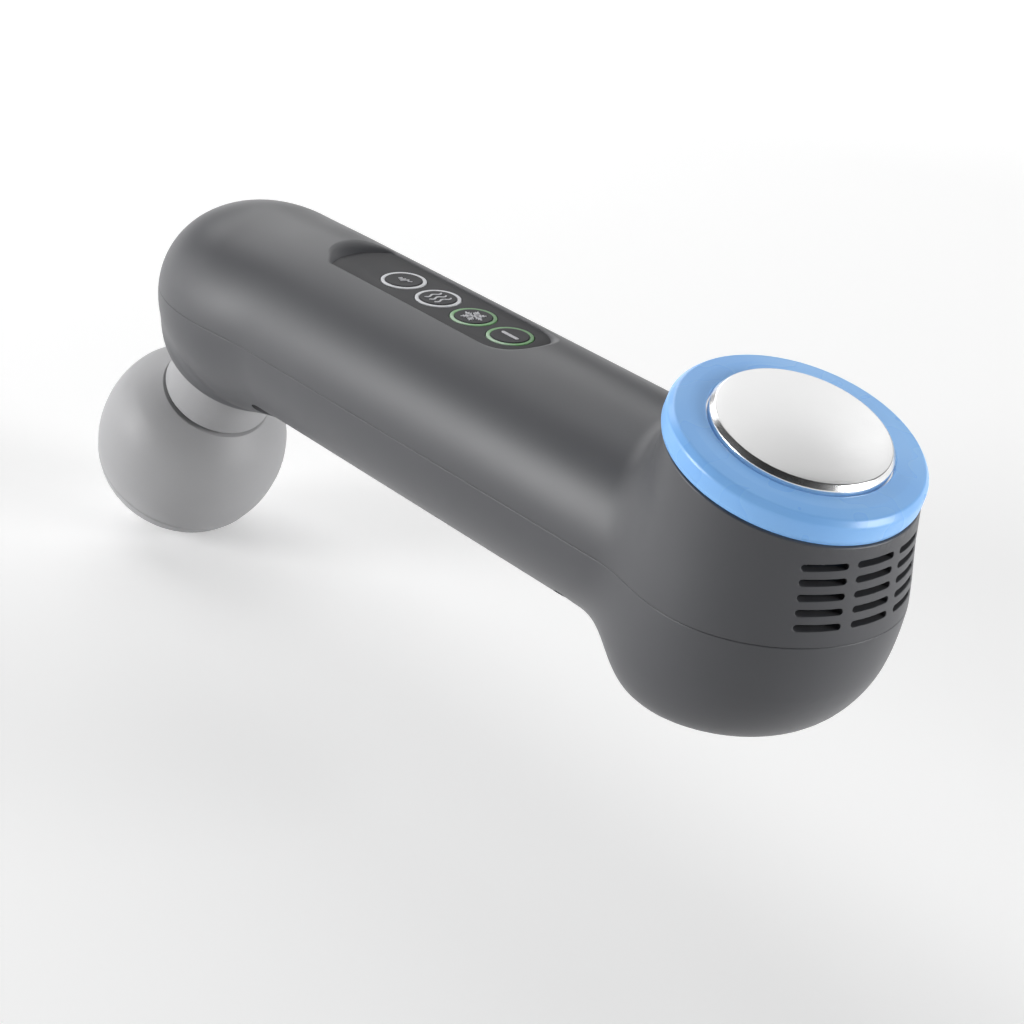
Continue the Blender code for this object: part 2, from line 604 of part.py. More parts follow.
def build_panel(mat):
    panel = prism("control_panel", panel_outline(0), PANEL_LEVEL - PANEL_THICKNESS, PANEL_LEVEL)
    holes = [disc("hole", PANEL_HOLE / 2, BED_BOTTOM, HANDLE_R,
                  BODY @ Matrix.Translation((x, 0, 0)), 24) for x in BUTTON_X]
    return finish(boolean(panel, "DIFFERENCE", joined("holes", holes)), mat)


def build_buttons(cap_mat, ring_mats, switch_mat):
    for name, x, ring_mat in zip(BUTTON_NAMES, BUTTON_X, ring_mats):
        frame = BODY @ Matrix.Translation((x, 0, 0))
        top = PANEL_LEVEL + BUTTON_PROUD
        r, edge = BUTTON_DIAMETER / 2, BUTTON_PROUD
        cap = lathe("button_" + name, [
            (0, FLANGE_BOTTOM), (BUTTON_FLANGE_DIAMETER / 2, FLANGE_BOTTOM),
            (BUTTON_FLANGE_DIAMETER / 2, FLANGE_TOP), (r, FLANGE_TOP),
            (r, top - edge), (r - edge, top), (0, top)], frame, 24)
        finish(cap, cap_mat)
        move_origin(cap, (x, 0, LIFT + PANEL_LEVEL))
        ring = tube(name + "_light_ring", LIGHT_RING_BORE / 2, LIGHT_RING_DIAMETER / 2,
                    BED_TOP + FIT_GAP, PANEL_LEVEL + LIGHT_RING_PROUD, frame, 24)
        finish(ring, ring_mat)
        half = SWITCH_SIDE / 2
        low = BUTTON_BOARD_TOP + FIT_GAP
        switch = box(name + "_switch", (-half, -half, low), (half, half, low + SWITCH_HEIGHT), frame)
        plunger = disc("plunger", PLUNGER_DIAMETER / 2, low + SWITCH_HEIGHT / 2, PLUNGER_TOP,
                       frame, 12)
        finish(boolean(switch, "UNION", plunger), switch_mat)


def build_button_board(mat):
    middle = (BUTTON_X[0] + BUTTON_X[3]) / 2
    half = (BUTTON_X[3] - BUTTON_X[0]) / 2 + BUTTON_BOARD_MARGIN
    board = box("button_board", (middle - half, -BUTTON_BOARD_WIDTH / 2,
                                 BUTTON_BOARD_TOP - BUTTON_BOARD_THICKNESS),
                (middle + half, BUTTON_BOARD_WIDTH / 2, BUTTON_BOARD_TOP))
    return finish(board, mat)


# Handle internals

def build_cell(mat):
    frame = BODY @ Matrix.Translation((CELL_X, 0, -CELL_DROP)) @ Matrix.Rotation(math.pi / 2, 4, "Y")
    half, edge = CELL_LENGTH / 2, CRADLE_WALL / 2
    cell = lathe("battery_cell", [
        (0, -half), (CELL_R - edge, -half), (CELL_R, -half + edge), (CELL_R, half - edge),
        (CELL_R - edge, half), (CELL_R / 3, half), (CELL_R / 3, half + edge), (0, half + edge)],
        frame, 28)
    return finish(cell, mat)


def build_cradle(mat):
    """A trough that holds the cell, with walls up to the main board and a foot on the shell."""
    wall_top = MAIN_BOARD_RISE - FIT_GAP
    r0, r1 = CRADLE_R, CRADLE_R + CRADLE_WALL
    foot = CRADLE_FOOT_WIDTH / 2
    foot_z = -math.sqrt(INNER_R ** 2 - foot ** 2) + FIT_GAP * 2
    inner = arc(0, -CELL_DROP, r0, 180, 360, 14)
    lean = math.degrees(math.acos(foot / r1))
    right = arc(0, -CELL_DROP, r1, 0, -lean, 6)
    left = arc(0, -CELL_DROP, r1, lean - 180, -180, 6)
    outline = ([(-r0, wall_top)] + inner + [(r0, wall_top), (r1, wall_top)] + right
               + [(foot, foot_z), (-foot, foot_z)] + left + [(-r1, wall_top)])
    length = CELL_LENGTH - 2 * CRADLE_END
    frame = (BODY @ Matrix.Translation((CELL_X, 0, 0)) @ Matrix.Rotation(math.pi / 2, 4, "Z")
             @ Matrix.Rotation(math.pi / 2, 4, "X"))
    return finish(prism("battery_cradle", outline, -length / 2, length / 2, frame), mat)


def build_main_board(mat):
    half = CRADLE_R + CRADLE_WALL
    z = MAIN_BOARD_RISE
    board = box("main_board", (CELL_X - MAIN_BOARD_LENGTH / 2, -half, z),
                (CELL_X + MAIN_BOARD_LENGTH / 2, half, z + MAIN_BOARD_THICKNESS))
    chips = []
    chip_shares = ((-0.3, 1.0), (0.05, 0.7), (0.33, 1.2))
    for place, size in chip_shares:
        x, side = CELL_X + MAIN_BOARD_LENGTH * place, CHIP_SIDE * size / 2
        chips.append(box("chip", (x - side, -side, z + MAIN_BOARD_THICKNESS / 2),
                         (x + side, side, z + MAIN_BOARD_THICKNESS + CHIP_HEIGHT)))
    return finish(boolean(board, "UNION", joined("chips", chips)), mat)


def build_charging(board_mat, metal_mat):
    frame = BODY @ Matrix.Translation((SOCKET_X, 0, 0))
    low = -HANDLE_R + SOCKET_INSET
    high = low + SOCKET_LENGTH
    socket = prism("usb_socket", rounded_rectangle(SOCKET_WIDTH, SOCKET_DEPTH), low, high, frame)
    inside = prism("inside", rounded_rectangle(SOCKET_WIDTH - 2 * SOCKET_WALL,
                                               SOCKET_DEPTH - 2 * SOCKET_WALL),
                   low - WALL, high - 2 * SOCKET_TONGUE, frame)
    boolean(socket, "DIFFERENCE", inside)
    reach = SOCKET_WIDTH / 2 - SOCKET_DEPTH / 2
    tongue = box("tongue", (-reach, -SOCKET_TONGUE / 2, low + SOCKET_TONGUE),
                 (reach, SOCKET_TONGUE / 2, high - SOCKET_TONGUE), frame)
    finish(boolean(socket, "UNION", tongue), metal_mat)
    board_z = -INNER_R + SOCKET_LENGTH - WALL + SOCKET_INSET
    board = box("charge_board", (-CHARGE_BOARD_LENGTH / 2, -CHARGE_BOARD_WIDTH / 2, board_z
                                 + FIT_GAP),
                (CHARGE_BOARD_LENGTH / 2, CHARGE_BOARD_WIDTH / 2,
                 board_z + FIT_GAP + CHARGE_BOARD_THICKNESS), frame)
    finish(board, board_mat)


def build_screws(mat):
    for i, (x, y) in enumerate(SCREW_PLACES):
        r, head = SCREW_SHANK_DIAMETER / 2, SCREW_HEAD_DIAMETER / 2
        seat = -SCREW_HEAD_SEAT - FIT_GAP
        screw = lathe("case_screw_%d" % (i + 1), [
            (0, seat - SCREW_HEAD_HEIGHT), (head * 0.8, seat - SCREW_HEAD_HEIGHT),
            (head, seat - SCREW_HEAD_HEIGHT * 0.7), (head, seat), (r, seat),
            (r, seat + SCREW_LENGTH - r), (0, seat + SCREW_LENGTH)],
            BODY @ Matrix.Translation((x, y, 0)), 16)
        bar = head * 1.1 / 2
        cross = [box("cross", (-a, -b, seat - SCREW_HEAD_HEIGHT * 2),
                     (a, b, seat - SCREW_HEAD_HEIGHT / 2), BODY @ Matrix.Translation((x, y, 0)))
                 for a, b in ((bar, bar / 4), (bar / 4, bar))]
        boolean(screw, "DIFFERENCE", *cross)
        finish(screw, mat)


# Plate end, stacked along the plate's own axis

def build_light_guide(mat):
    h, r, p = RING_HEIGHT, RING_R, PLATE_R + FIT_GAP
    well = PLATE_R + PLATE_FLANGE_WIDTH + FIT_GAP
    skirt_in = SKIRT_R - SKIRT_THICKNESS
    profile = [(skirt_in, -SKIRT_DEPTH), (SKIRT_R, -SKIRT_DEPTH), (SKIRT_R, FIT_GAP),
               (r, FIT_GAP)]
    rim_shares = ((1.004, 0.25), (0.992, 0.5), (0.968, 0.68), (0.93, 0.78), (0.8, 0.91))
    profile += [(r * a, h * b) for a, b in rim_shares]
    profile += [(p, h), (p, h - GUIDE_LIP), (well, h - GUIDE_LIP), (well, FIT_GAP),
                (skirt_in, FIT_GAP)]
    return finish(lathe("light_guide", profile, PLATE_FRAME, LATHE_AROUND, True), mat)


def build_contact_plate(mat):
    h, r = PLATE_HEIGHT, PLATE_R
    flange_top = PLATE_BOTTOM + PLATE_FLANGE_HEIGHT
    edge = (h - flange_top) * 0.35
    corner = [(r - edge + edge * math.sin(a), h - edge + edge * math.cos(a))
              for a in (0, math.pi / 6, math.pi / 3, math.pi / 2)]
    profile = ([(0, PLATE_BOTTOM), (r + PLATE_FLANGE_WIDTH, PLATE_BOTTOM),
                (r + PLATE_FLANGE_WIDTH, flange_top), (r, flange_top)] + corner[::-1] + [(0, h)])
    return finish(lathe("contact_plate", profile, PLATE_FRAME, LATHE_AROUND), mat)


def build_stack(pad_mat, ceramic_mat, sink_mat, board_mat, carrier_mat):
    half = PELTIER_SIDE / 2
    finish(box("thermal_pad", (-half, -half, PAD_TOP - PAD_THICKNESS), (half, half, PAD_TOP),
               PLATE_FRAME), pad_mat)
    finish(box("peltier_module", (-half, -half, PELTIER_TOP - PELTIER_THICKNESS),
               (half, half, PELTIER_TOP), PLATE_FRAME), ceramic_mat)
    r = SINK_DIAMETER / 2
    pitch = (SINK_DIAMETER - SINK_FIN_THICKNESS * 3) / (SINK_FIN_COUNT - 1)
    comb = [(r * 1.2, SINK_TOP), (-r * 1.2, SINK_TOP)]
    base = SINK_TOP - SINK_BASE
    comb.append((-r * 1.2, base))
    for i in range(SINK_FIN_COUNT):
        y = (i - (SINK_FIN_COUNT - 1) / 2) * pitch
        t = SINK_FIN_THICKNESS / 2
        comb += [(y - t, base), (y - t, SINK_BOTTOM), (y + t, SINK_BOTTOM), (y + t, base)]
    comb.append((r * 1.2, base))
    sink = prism("heat_sink", comb, -r * 1.2, r * 1.2, PLATE_FRAME
                 @ Matrix.Rotation(math.pi / 2, 4, "Z") @ Matrix.Rotation(math.pi / 2, 4, "X"))
    boolean(sink, "INTERSECT", disc("round", r, SINK_BOTTOM - WALL, SINK_TOP + WALL,
                                    PLATE_FRAME, 40))
    finish(sink, sink_mat)
    inner = r + FIT_GAP
    top = -SKIRT_DEPTH + LED_BOARD_THICKNESS
    outer = SKIRT_R - SKIRT_THICKNESS - FIT_GAP
    board = tube("led_board", inner + FIT_GAP, outer, top - LED_BOARD_THICKNESS, top,
                 PLATE_FRAME, 40)
    leds = []
    for i in range(LED_COUNT):
        turn = PLATE_FRAME @ Matrix.Rotation(2 * math.pi * i / LED_COUNT, 4, "Z")
        middle, s = (inner + FIT_GAP + outer) / 2, LED_SIZE / 2
        leds.append(box("led", (middle - s, -s, top - LED_BOARD_THICKNESS / 2),
                        (middle + s, s, top + LED_HEIGHT), turn))
    finish(boolean(board, "UNION", joined("leds", leds)), board_mat)
    finish(tube("plate_carrier", inner, CARRIER_R, CARRIER_TOP - CARRIER_THICKNESS, CARRIER_TOP,
                PLATE_FRAME, 40), carrier_mat)


def build_fan(frame_mat, rotor_mat):
    half, top = FAN_SIDE / 2, FAN_TOP
    low = top - FAN_HEIGHT
    base = low + FAN_STRUT
    frame = box("fan_frame", (-half, -half, low), (half, half, top), PLATE_FRAME)
    boolean(frame, "DIFFERENCE", disc("bore", FAN_BORE / 2, low - WALL, top + WALL, PLATE_FRAME, 36))
    struts = [box("strut", (-half + FAN_STRUT / 2, -FAN_STRUT / 2, low),
                  (half - FAN_STRUT / 2, FAN_STRUT / 2, base),
                  PLATE_FRAME @ Matrix.Rotation(turn, 4, "Z")) for turn in (0, math.pi / 2)]
    seat = disc("seat", FAN_HUB_DIAMETER / 2, low, base, PLATE_FRAME, 24)
    pin_hole = disc("pin_hole", FAN_SHAFT_DIAMETER / 2 + FIT_GAP, low - WALL, base + WALL,
                    PLATE_FRAME, 12)
    boolean(frame, "UNION", struts[0], struts[1], seat)
    boolean(frame, "DIFFERENCE", pin_hole)
    finish(frame, frame_mat)
    hub, shaft = FAN_HUB_DIAMETER / 2, FAN_SHAFT_DIAMETER / 2
    hub_low = base + FIT_GAP
    rotor = lathe("fan_rotor", [(0, low), (shaft, low), (shaft, top - FAN_HUB_WALL * 2),
                                (hub - FAN_HUB_WALL, top - FAN_HUB_WALL * 2),
                                (hub - FAN_HUB_WALL, hub_low), (hub, hub_low),
                                (hub, top - FAN_HUB_WALL), (0, top - FAN_HUB_WALL)],
                  PLATE_FRAME, 24)
    blades = []
    reach = FAN_BORE / 2 - 2 * FIT_GAP
    for i in range(FAN_BLADE_COUNT):
        turn = PLATE_FRAME @ Matrix.Rotation(2 * math.pi * i / FAN_BLADE_COUNT, 4, "Z")
        lean = Matrix.Rotation(math.radians(38), 4, "X")
        width = (FAN_HEIGHT - FAN_STRUT - FAN_HUB_WALL) / 2 * 0.8
        middle = (hub_low + top - FAN_HUB_WALL) / 2
        blades.append(box("blade", (hub - FAN_HUB_WALL / 2, -FAN_BLADE_THICKNESS / 2, -width),
                          (reach, FAN_BLADE_THICKNESS / 2, width),
                          turn @ Matrix.Translation((0, 0, middle)) @ lean))
    boolean(rotor, "UNION", joined("blades", blades))
    finish(rotor, rotor_mat)


# Ball head, along the ball's own axis from the head's centre

def build_collar(mat):
    r0, r1 = COLLAR_DIAMETERS[0] / 2, COLLAR_DIAMETERS[1] / 2
    wall_in = BOSS_REACH - WALL
    flange_low = wall_in - FIT_GAP - COLLAR_FLANGE_THICKNESS
    bore = BUSH_R + FIT_GAP
    edge = NECK_GAP / 2
    profile = [(bore, flange_low), (r0 + COLLAR_FLANGE_WIDTH, flange_low),
               (r0 + COLLAR_FLANGE_WIDTH, wall_in - FIT_GAP), (r0, wall_in - FIT_GAP),
               (r0, BOSS_REACH + WALL), (r1, COLLAR_END - edge), (r1 - edge, COLLAR_END),
               (bore, COLLAR_END)]
    return finish(lathe("collar", profile, BALL_FRAME, LATHE_AROUND, True), mat)


def build_damper(mat):
    """A rubber bush that bridges the gap, seen in it as a dark ring."""
    low, high = COLLAR_END - BUSH_REACH, COLLAR_END + NECK_GAP + BUSH_REACH
    return finish(tube("damper_bush", BUSH_R - BUSH_WALL, BUSH_R, low, high, BALL_FRAME, 32), mat)


def sphere_points(r, centre, start, end, steps):
    """(radius, height) points on a sphere, with angles in degrees from the neck."""
    return [(max(r * math.sin(math.radians(a)), 0), centre - r * math.cos(math.radians(a)))
            for a in np.linspace(start, end, steps)]


def build_ball(mat):
    """A hollow ball, open at the neck, that turns a little about the middle of the neck's gap."""
    inner, mouth = BALL_R - BALL_WALL, BUSH_R + 2 * FIT_GAP
    start = math.degrees(math.asin(MOUTH_R / BALL_R))
    inner_start = math.degrees(math.asin(mouth / inner))
    outside = sphere_points(BALL_R, BALL_REACH, start, 180, 16)[:-1] + [(0, BALL_REACH + BALL_R)]
    inside = [(0, BALL_REACH + inner)] + sphere_points(inner, BALL_REACH, 180, inner_start, 8)[1:]
    lip = [(mouth, BALL_REACH - MOUTH_TO_CENTRE)]
    ball = lathe("ball_shell", lip + outside + inside, BALL_FRAME, LATHE_AROUND, True)
    finish(ball, mat)
    move_origin(ball, BALL_FRAME @ Vector((0, 0, COLLAR_END + NECK_GAP / 2)))


def motor_frame():
    """The motor's frame: its axis along the world's Y, through the ball's centre."""
    return (BALL_FRAME @ Matrix.Translation((0, 0, BALL_REACH))
            @ Matrix.Rotation(-math.pi / 2, 4, "X"))


def build_motor(mount_mat, can_mat, weight_mat):
    frame = motor_frame()
    r, back = MOTOR_DIAMETER / 2, -MOTOR_BACK
    front = back + MOTOR_LENGTH
    nose, shaft = r / 3, MOTOR_SHAFT_DIAMETER / 2
    step = MOTOR_SHAFT_DIAMETER / 2
    motor = lathe("vibration_motor", [
        (0, back), (r, back), (r, front), (nose, front), (nose, front + step), (shaft, front + step),
        (shaft, front + MOTOR_SHAFT_LENGTH), (0, front + MOTOR_SHAFT_LENGTH)], frame, 28)
    finish(motor, can_mat)
    low = front + step + FIT_GAP
    hub = WEIGHT_HUB_DIAMETER / 2
    outline = arc(0, 0, WEIGHT_RADIUS, 0, 180, 14) + arc(0, 0, hub, 180, 360, 8)
    weight = prism("eccentric_weight", outline, low, low + WEIGHT_THICKNESS, frame)
    boolean(weight, "DIFFERENCE", disc("bore", shaft + FIT_GAP, low - WALL,
                                       low + WEIGHT_THICKNESS + WALL, frame, 16))
    finish(weight, weight_mat)
    half = MOUNT_WIDTH / 2
    middle = (back + front) / 2
    mount = tube("motor_mount", r + FIT_GAP, r + FIT_GAP + MOUNT_WALL, middle - half,
                 middle + half, frame, 28)
    reach = math.sqrt((BALL_R - BALL_WALL) ** 2 - (abs(middle) + half) ** 2 - (MOUNT_ARM / 2) ** 2)
    arms = []
    for i in range(4):
        turn = Matrix.Rotation(math.pi / 4 + i * math.pi / 2, 4, "Z")
        arms.append(box("arm", (r + FIT_GAP + MOUNT_WALL / 2, -MOUNT_ARM / 2, middle - half),
                        (reach - 2 * FIT_GAP, MOUNT_ARM / 2, middle + half), frame @ turn))
    finish(boolean(mount, "UNION", joined("arms", arms)), mount_mat)


def main():
    clear_scene()
    housing = material("housing_plastic", (0.09, 0.09, 0.1), 0.45)
    ball = material("ball_plastic", (0.42, 0.42, 0.44), 0.5)
    panel = material("panel_plastic", (0.06, 0.06, 0.07), 0.5)
    white = material("light_ring_white", (0.8, 0.82, 0.85), 0.35)
    green = material("light_ring_green", (0.35, 0.7, 0.4), 0.35)
    blue = material("light_guide_blue", (0.22, 0.42, 0.8), 0.3)
    steel = material("plate_metal", (0.78, 0.78, 0.8), 0.2, 1.0)
    screw = material("screw_steel", (0.5, 0.5, 0.52), 0.35, 1.0)
    rubber = material("rubber", (0.02, 0.02, 0.02), 0.8)
    board = material("circuit_board", (0.02, 0.2, 0.08), 0.5)
    ceramic = material("ceramic", (0.85, 0.85, 0.82), 0.6)
    pad = material("thermal_pad_grey", (0.4, 0.45, 0.5), 0.9)
    sink = material("aluminium", (0.7, 0.7, 0.72), 0.4, 1.0)
    black = material("inner_plastic", (0.03, 0.03, 0.03), 0.55)
    wrap = material("cell_wrap", (0.1, 0.3, 0.5), 0.4)
    brass = material("weight_brass", (0.7, 0.5, 0.2), 0.4, 1.0)

    build_upper_shell(housing)
    build_lower_shell(housing)
    build_panel(panel)
    build_buttons(panel, (white, white, green, green), black)
    build_button_board(board)
    build_cell(wrap)
    build_cradle(black)
    build_main_board(board)
    build_charging(board, screw)
    build_screws(screw)
    build_light_guide(blue)
    build_contact_plate(steel)
    build_stack(pad, ceramic, sink, board, black)
    build_fan(black, black)
    build_collar(ball)
    build_damper(rubber)
    build_ball(ball)
    build_motor(black, sink, brass)
    move_origin(bpy.data.objects["fan_rotor"], PLATE_FRAME @ Vector((0, 0, FAN_TOP)))


main()
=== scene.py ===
"""Looks of the vibration massager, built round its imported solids.

The handle runs along X with its axis at y = 0 and z = AXIS_Z. The ball head is at -X, the hot and
cold plate at +X, and the control panel faces +Z. Everything is in metres, in the solids' frame.
"""

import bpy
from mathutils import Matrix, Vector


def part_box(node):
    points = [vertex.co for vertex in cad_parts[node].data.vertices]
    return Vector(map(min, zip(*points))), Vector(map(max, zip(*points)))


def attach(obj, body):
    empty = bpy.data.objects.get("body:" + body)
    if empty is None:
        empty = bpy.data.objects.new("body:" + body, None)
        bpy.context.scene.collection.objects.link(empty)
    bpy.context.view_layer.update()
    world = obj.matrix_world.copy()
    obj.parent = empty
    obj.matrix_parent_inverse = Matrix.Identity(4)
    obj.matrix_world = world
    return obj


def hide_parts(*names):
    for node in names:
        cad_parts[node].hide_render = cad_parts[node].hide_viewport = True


bl_info = {
    "name": "Vibration massager",
    "version": (1, 0, 0),
    "blender": (4, 5, 0),
    "location": "View3D > Sidebar > Massager",
    "description": "Builds the massager's housing, controls, plate end, ball head and studio",
    "category": "Object",
}

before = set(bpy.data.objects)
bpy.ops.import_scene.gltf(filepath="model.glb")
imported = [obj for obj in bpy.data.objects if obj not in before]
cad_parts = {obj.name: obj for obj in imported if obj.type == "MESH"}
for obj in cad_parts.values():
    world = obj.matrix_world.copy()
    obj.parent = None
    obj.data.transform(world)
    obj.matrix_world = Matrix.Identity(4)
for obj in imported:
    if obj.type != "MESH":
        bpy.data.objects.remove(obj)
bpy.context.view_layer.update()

import math

import bmesh
import bpy
import numpy as np
from mathutils import Euler, Matrix, Vector

MM = 0.001

# Sizes: the solids' own, and beside them those that only the looks have

# Handle, head, and the boss that the collar comes out of
HANDLE_R = 22.0 * MM
HANDLE_LENGTH = 159.5 * MM
HEAD_R = 23.3 * MM
HEAD_DROP = 2.0 * MM
HEAD_SAG = 1.68 * MM
HEAD_INSET = 5.0 * MM
HEAD_RUN = 20.0 * MM
HEAD_STRETCH = 0.52
HEAD_LEAN = math.radians(31.5)
HEAD_BLEND = 2.0 * MM
BOSS_R = 19.0 * MM
BOSS_REACH = 18.5 * MM
BOSS_ROUNDING = 5.0 * MM

# Bulb
BULB_R = 25.2 * MM
BULB_DEPTH = 27.8 * MM
BULB_BLEND = 6.0 * MM
LOW_BLEND = 8.0 * MM
LOW_BLEND_DEPTH = 15.0 * MM
BOWL_SLOPE = 0.287
BOWL_SQUARENESS = 3.7
BARREL_SQUARENESS = 12
SEAM_TRIM = 0.45 * MM
SEAM_TRIM_DEPTH = 12.0 * MM

# Walls and clearances
WALL = 2.2 * MM
FIT_GAP = 0.3 * MM
RIM_EDGE = 0.35 * MM
SLOT_EDGE = 0.2 * MM
SOCKET_EDGE = 0.15 * MM
MOUTH_EDGE = 0.35 * MM

# Rim, light ring and plate
RING_R = 24.1 * MM
RIM_R = 24.0 * MM
RIM_DROP = 0.5 * MM
RING_TILT = math.radians(15.7)
RING_RISE = 25.2 * MM
RING_AHEAD = 1.0 * MM
RING_HEIGHT = 5.5 * MM
RING_TOP = 5.1 * MM
PLATE_R = 17.0 * MM
PLATE_HEIGHT = 7.1 * MM
PLATE_FLANGE = 1.9 * MM
PLATE_FLANGE_THICKNESS = 0.7 * MM
GUIDE_LIP = 0.6 * MM
SKIRT_DEPTH = 1.5 * MM
SKIRT_THICKNESS = 1.2 * MM

# Panel and buttons
PANEL_WIDTH = 16.0 * MM
PANEL_LENGTH = 61.2 * MM
PANEL_END_BULGE = 3.0 * MM
PANEL_FROM_HEAD = 31.4 * MM
PANEL_LEVEL = 20.0 * MM
PANEL_THICKNESS = 1.5 * MM
PANEL_BED = 1.9 * MM
PANEL_OVAL = 9.0 * MM
PANEL_SIDE_EDGE = 1.2 * MM
PANEL_OVAL_EDGE = 3.0 * MM
PANEL_LAP = 0.25 * MM
INLAY_GAP = 0.02 * MM
INLAY_EDGE = 0.2 * MM
BUTTON_FROM_HEAD = 49.3 * MM
BUTTON_PITCH = 11.5 * MM
BUTTON_R = 3.7 * MM
BUTTON_PROUD = 0.25 * MM
BUTTON_FLANGE = 1.1 * MM
BUTTON_FLANGE_THICKNESS = 0.8 * MM
CAP_R = 3.9 * MM
CAP_DISH = 0.12 * MM
CAP_EDGE = 0.22 * MM
LIGHT_RING_R = 4.85 * MM
LIGHT_RING_PROUD = 0.1 * MM
HALO_BORE = 3.98 * MM
HALO_GAP = 0.07 * MM
ICON_LOW, ICON_HIGH, ICON_EDGE = -0.05 * MM, 0.16 * MM, 0.03 * MM

# Ball, collar and bush
BALL_R = 22.4 * MM
BALL_REACH = 51.7 * MM
BALL_WALL = 2.5 * MM
# The ball's outline: degrees from its mouth side, and share of BALL_R
BALL_OUTLINE = ((36, 1.0), (44, 1.01), (52, 1.02), (62, 1.016), (75, 0.998), (90, 0.985),
                (108, 0.992), (124, 1.005), (136, 1.003), (144, 1.0), (180, 1.0))
BALL_START = 38
BALL_CREASE = 113.0
CREASE_DEPTH = 0.16 * MM
CAP_PROUD = 0.12 * MM
CAP_FADE = (124, 18)
MOUTH_R = 12.9 * MM
NECK_GAP = 1.0 * MM
COLLAR_R = (12.2 * MM, 12.8 * MM)
COLLAR_FLANGE = 2.4 * MM
COLLAR_FLANGE_THICKNESS = 1.6 * MM
BUSH_R = 9.5 * MM
BUSH_WALL = 2.2 * MM
BUSH_REACH = 5.0 * MM
BUSH_GROOVE = 0.3 * MM

# Screws and socket
SCREW_OUT = 13.0 * MM
SCREW_FROM_ENDS = (20.0 * MM, 38.0 * MM)
SCREW_SEAT = 9.0 * MM
SCREW_HEAD_R = 2.3 * MM
SCREW_HEAD_HEIGHT = 1.7 * MM
SCREW_R = 1.2 * MM
SCREW_LENGTH = 14.0 * MM
THREAD_PITCH = 0.9 * MM
WELL_R = 2.6 * MM
WELL_BORE = 1.5 * MM
COLUMN_R = 3.8 * MM
SOCKET_FROM_BULB = 50.0 * MM
SOCKET_SIZE = (9.6 * MM, 3.8 * MM)

# Studio. A lamp has its turn and height in degrees, and its power in watts
CAMERA_PLACE = (0.34609, -0.29339, 0.26125)
CAMERA_TURN = (64.361, -4.968, 50.255)
CAMERA_LENS, CAMERA_SENSOR = 84.375, 36
FLOOR_HALF = 3.0
LAMP_AIM = Vector((0, 0, 0.06))
LAMP_SIZE, LAMP_DISTANCE = 0.6, 1.2
LAMPS = ((240, 12, 9.6), (210, 12, 1.3), (30, 12, 8.4), (150, 12, 0.4), (150, 35, 2.3),
         (180, 35, 2.4), (120, 35, 0.9), (90, 35, 0.8), (180, 60, 0.9), (120, 60, 0.7))

# Places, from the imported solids
FIRST_BUTTON = (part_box("button_mode")[0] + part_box("button_mode")[1]) / 2
HEAD_X = FIRST_BUTTON.x - BUTTON_FROM_HEAD
BULB_X = HEAD_X + HANDLE_LENGTH
AXIS_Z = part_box("button_mode")[1].z - PANEL_LEVEL - BUTTON_PROUD
AXIS = Vector((0, 0, AXIS_Z))
BODY = Matrix.Translation(AXIS)
BALL_FRAME = (Matrix.Translation((HEAD_X, 0, AXIS_Z - HEAD_DROP))
              @ Matrix.Rotation(math.pi + HEAD_LEAN, 4, "Y"))
BALL_DIR = np.array((-math.sin(HEAD_LEAN), 0, -math.cos(HEAD_LEAN)))
PLATE_FRAME = (Matrix.Translation((BULB_X + RING_AHEAD, 0, AXIS_Z + RING_RISE))
               @ Matrix.Rotation(RING_TILT, 4, "Y"))
RIM_FRAME = PLATE_FRAME @ Matrix.Translation((0, 0, -RIM_DROP))
PANEL_X = HEAD_X + PANEL_FROM_HEAD + PANEL_LENGTH / 2
BED_TOP = PANEL_LEVEL - PANEL_THICKNESS - FIT_GAP
BED_BOTTOM = BED_TOP - PANEL_BED
FLANGE_TOP = BED_BOTTOM - FIT_GAP
BUTTONS = ("mode", "heat", "cool", "power")
BUTTON_X = [HEAD_X + BUTTON_FROM_HEAD + i * BUTTON_PITCH for i in range(4)]
SKIRT_R = RING_R - WALL / math.cos(RING_TILT) - SKIRT_DEPTH * math.tan(RING_TILT) - FIT_GAP * 1.5
MOUTH_TO_CENTRE = math.sqrt(BALL_R ** 2 - MOUTH_R ** 2)
COLLAR_END = BALL_REACH - MOUTH_TO_CENTRE - NECK_GAP
SCREW_PLACES = [(x, y) for x in (HEAD_X + SCREW_FROM_ENDS[0], BULB_X - SCREW_FROM_ENDS[1])
                for y in (-SCREW_OUT, SCREW_OUT)]

# How the skin's rays are spread: cones in degrees, and shares of the way along
BULB_CONES = (4, 14, 28, 42, 56, 68, 79, 89, 98, 106, 113, 119, 124, 129, 135)
HANDLE_SHARES = (0.03, 0.07, 0.13, 0.22, 0.35, 0.56, 0.78, 0.92, 1.0)
HEAD_SHARES = (0.14, 0.28, 0.42, 0.56, 0.7, 0.82, 0.92, 1.0)
BOSS_CONES = (97, 104, 110, 116, 125, 145, 170)

# How finely the shapes are cut
SKIN_AROUND = 128
CAVITY_AROUND = 48
LATHE_AROUND = 128


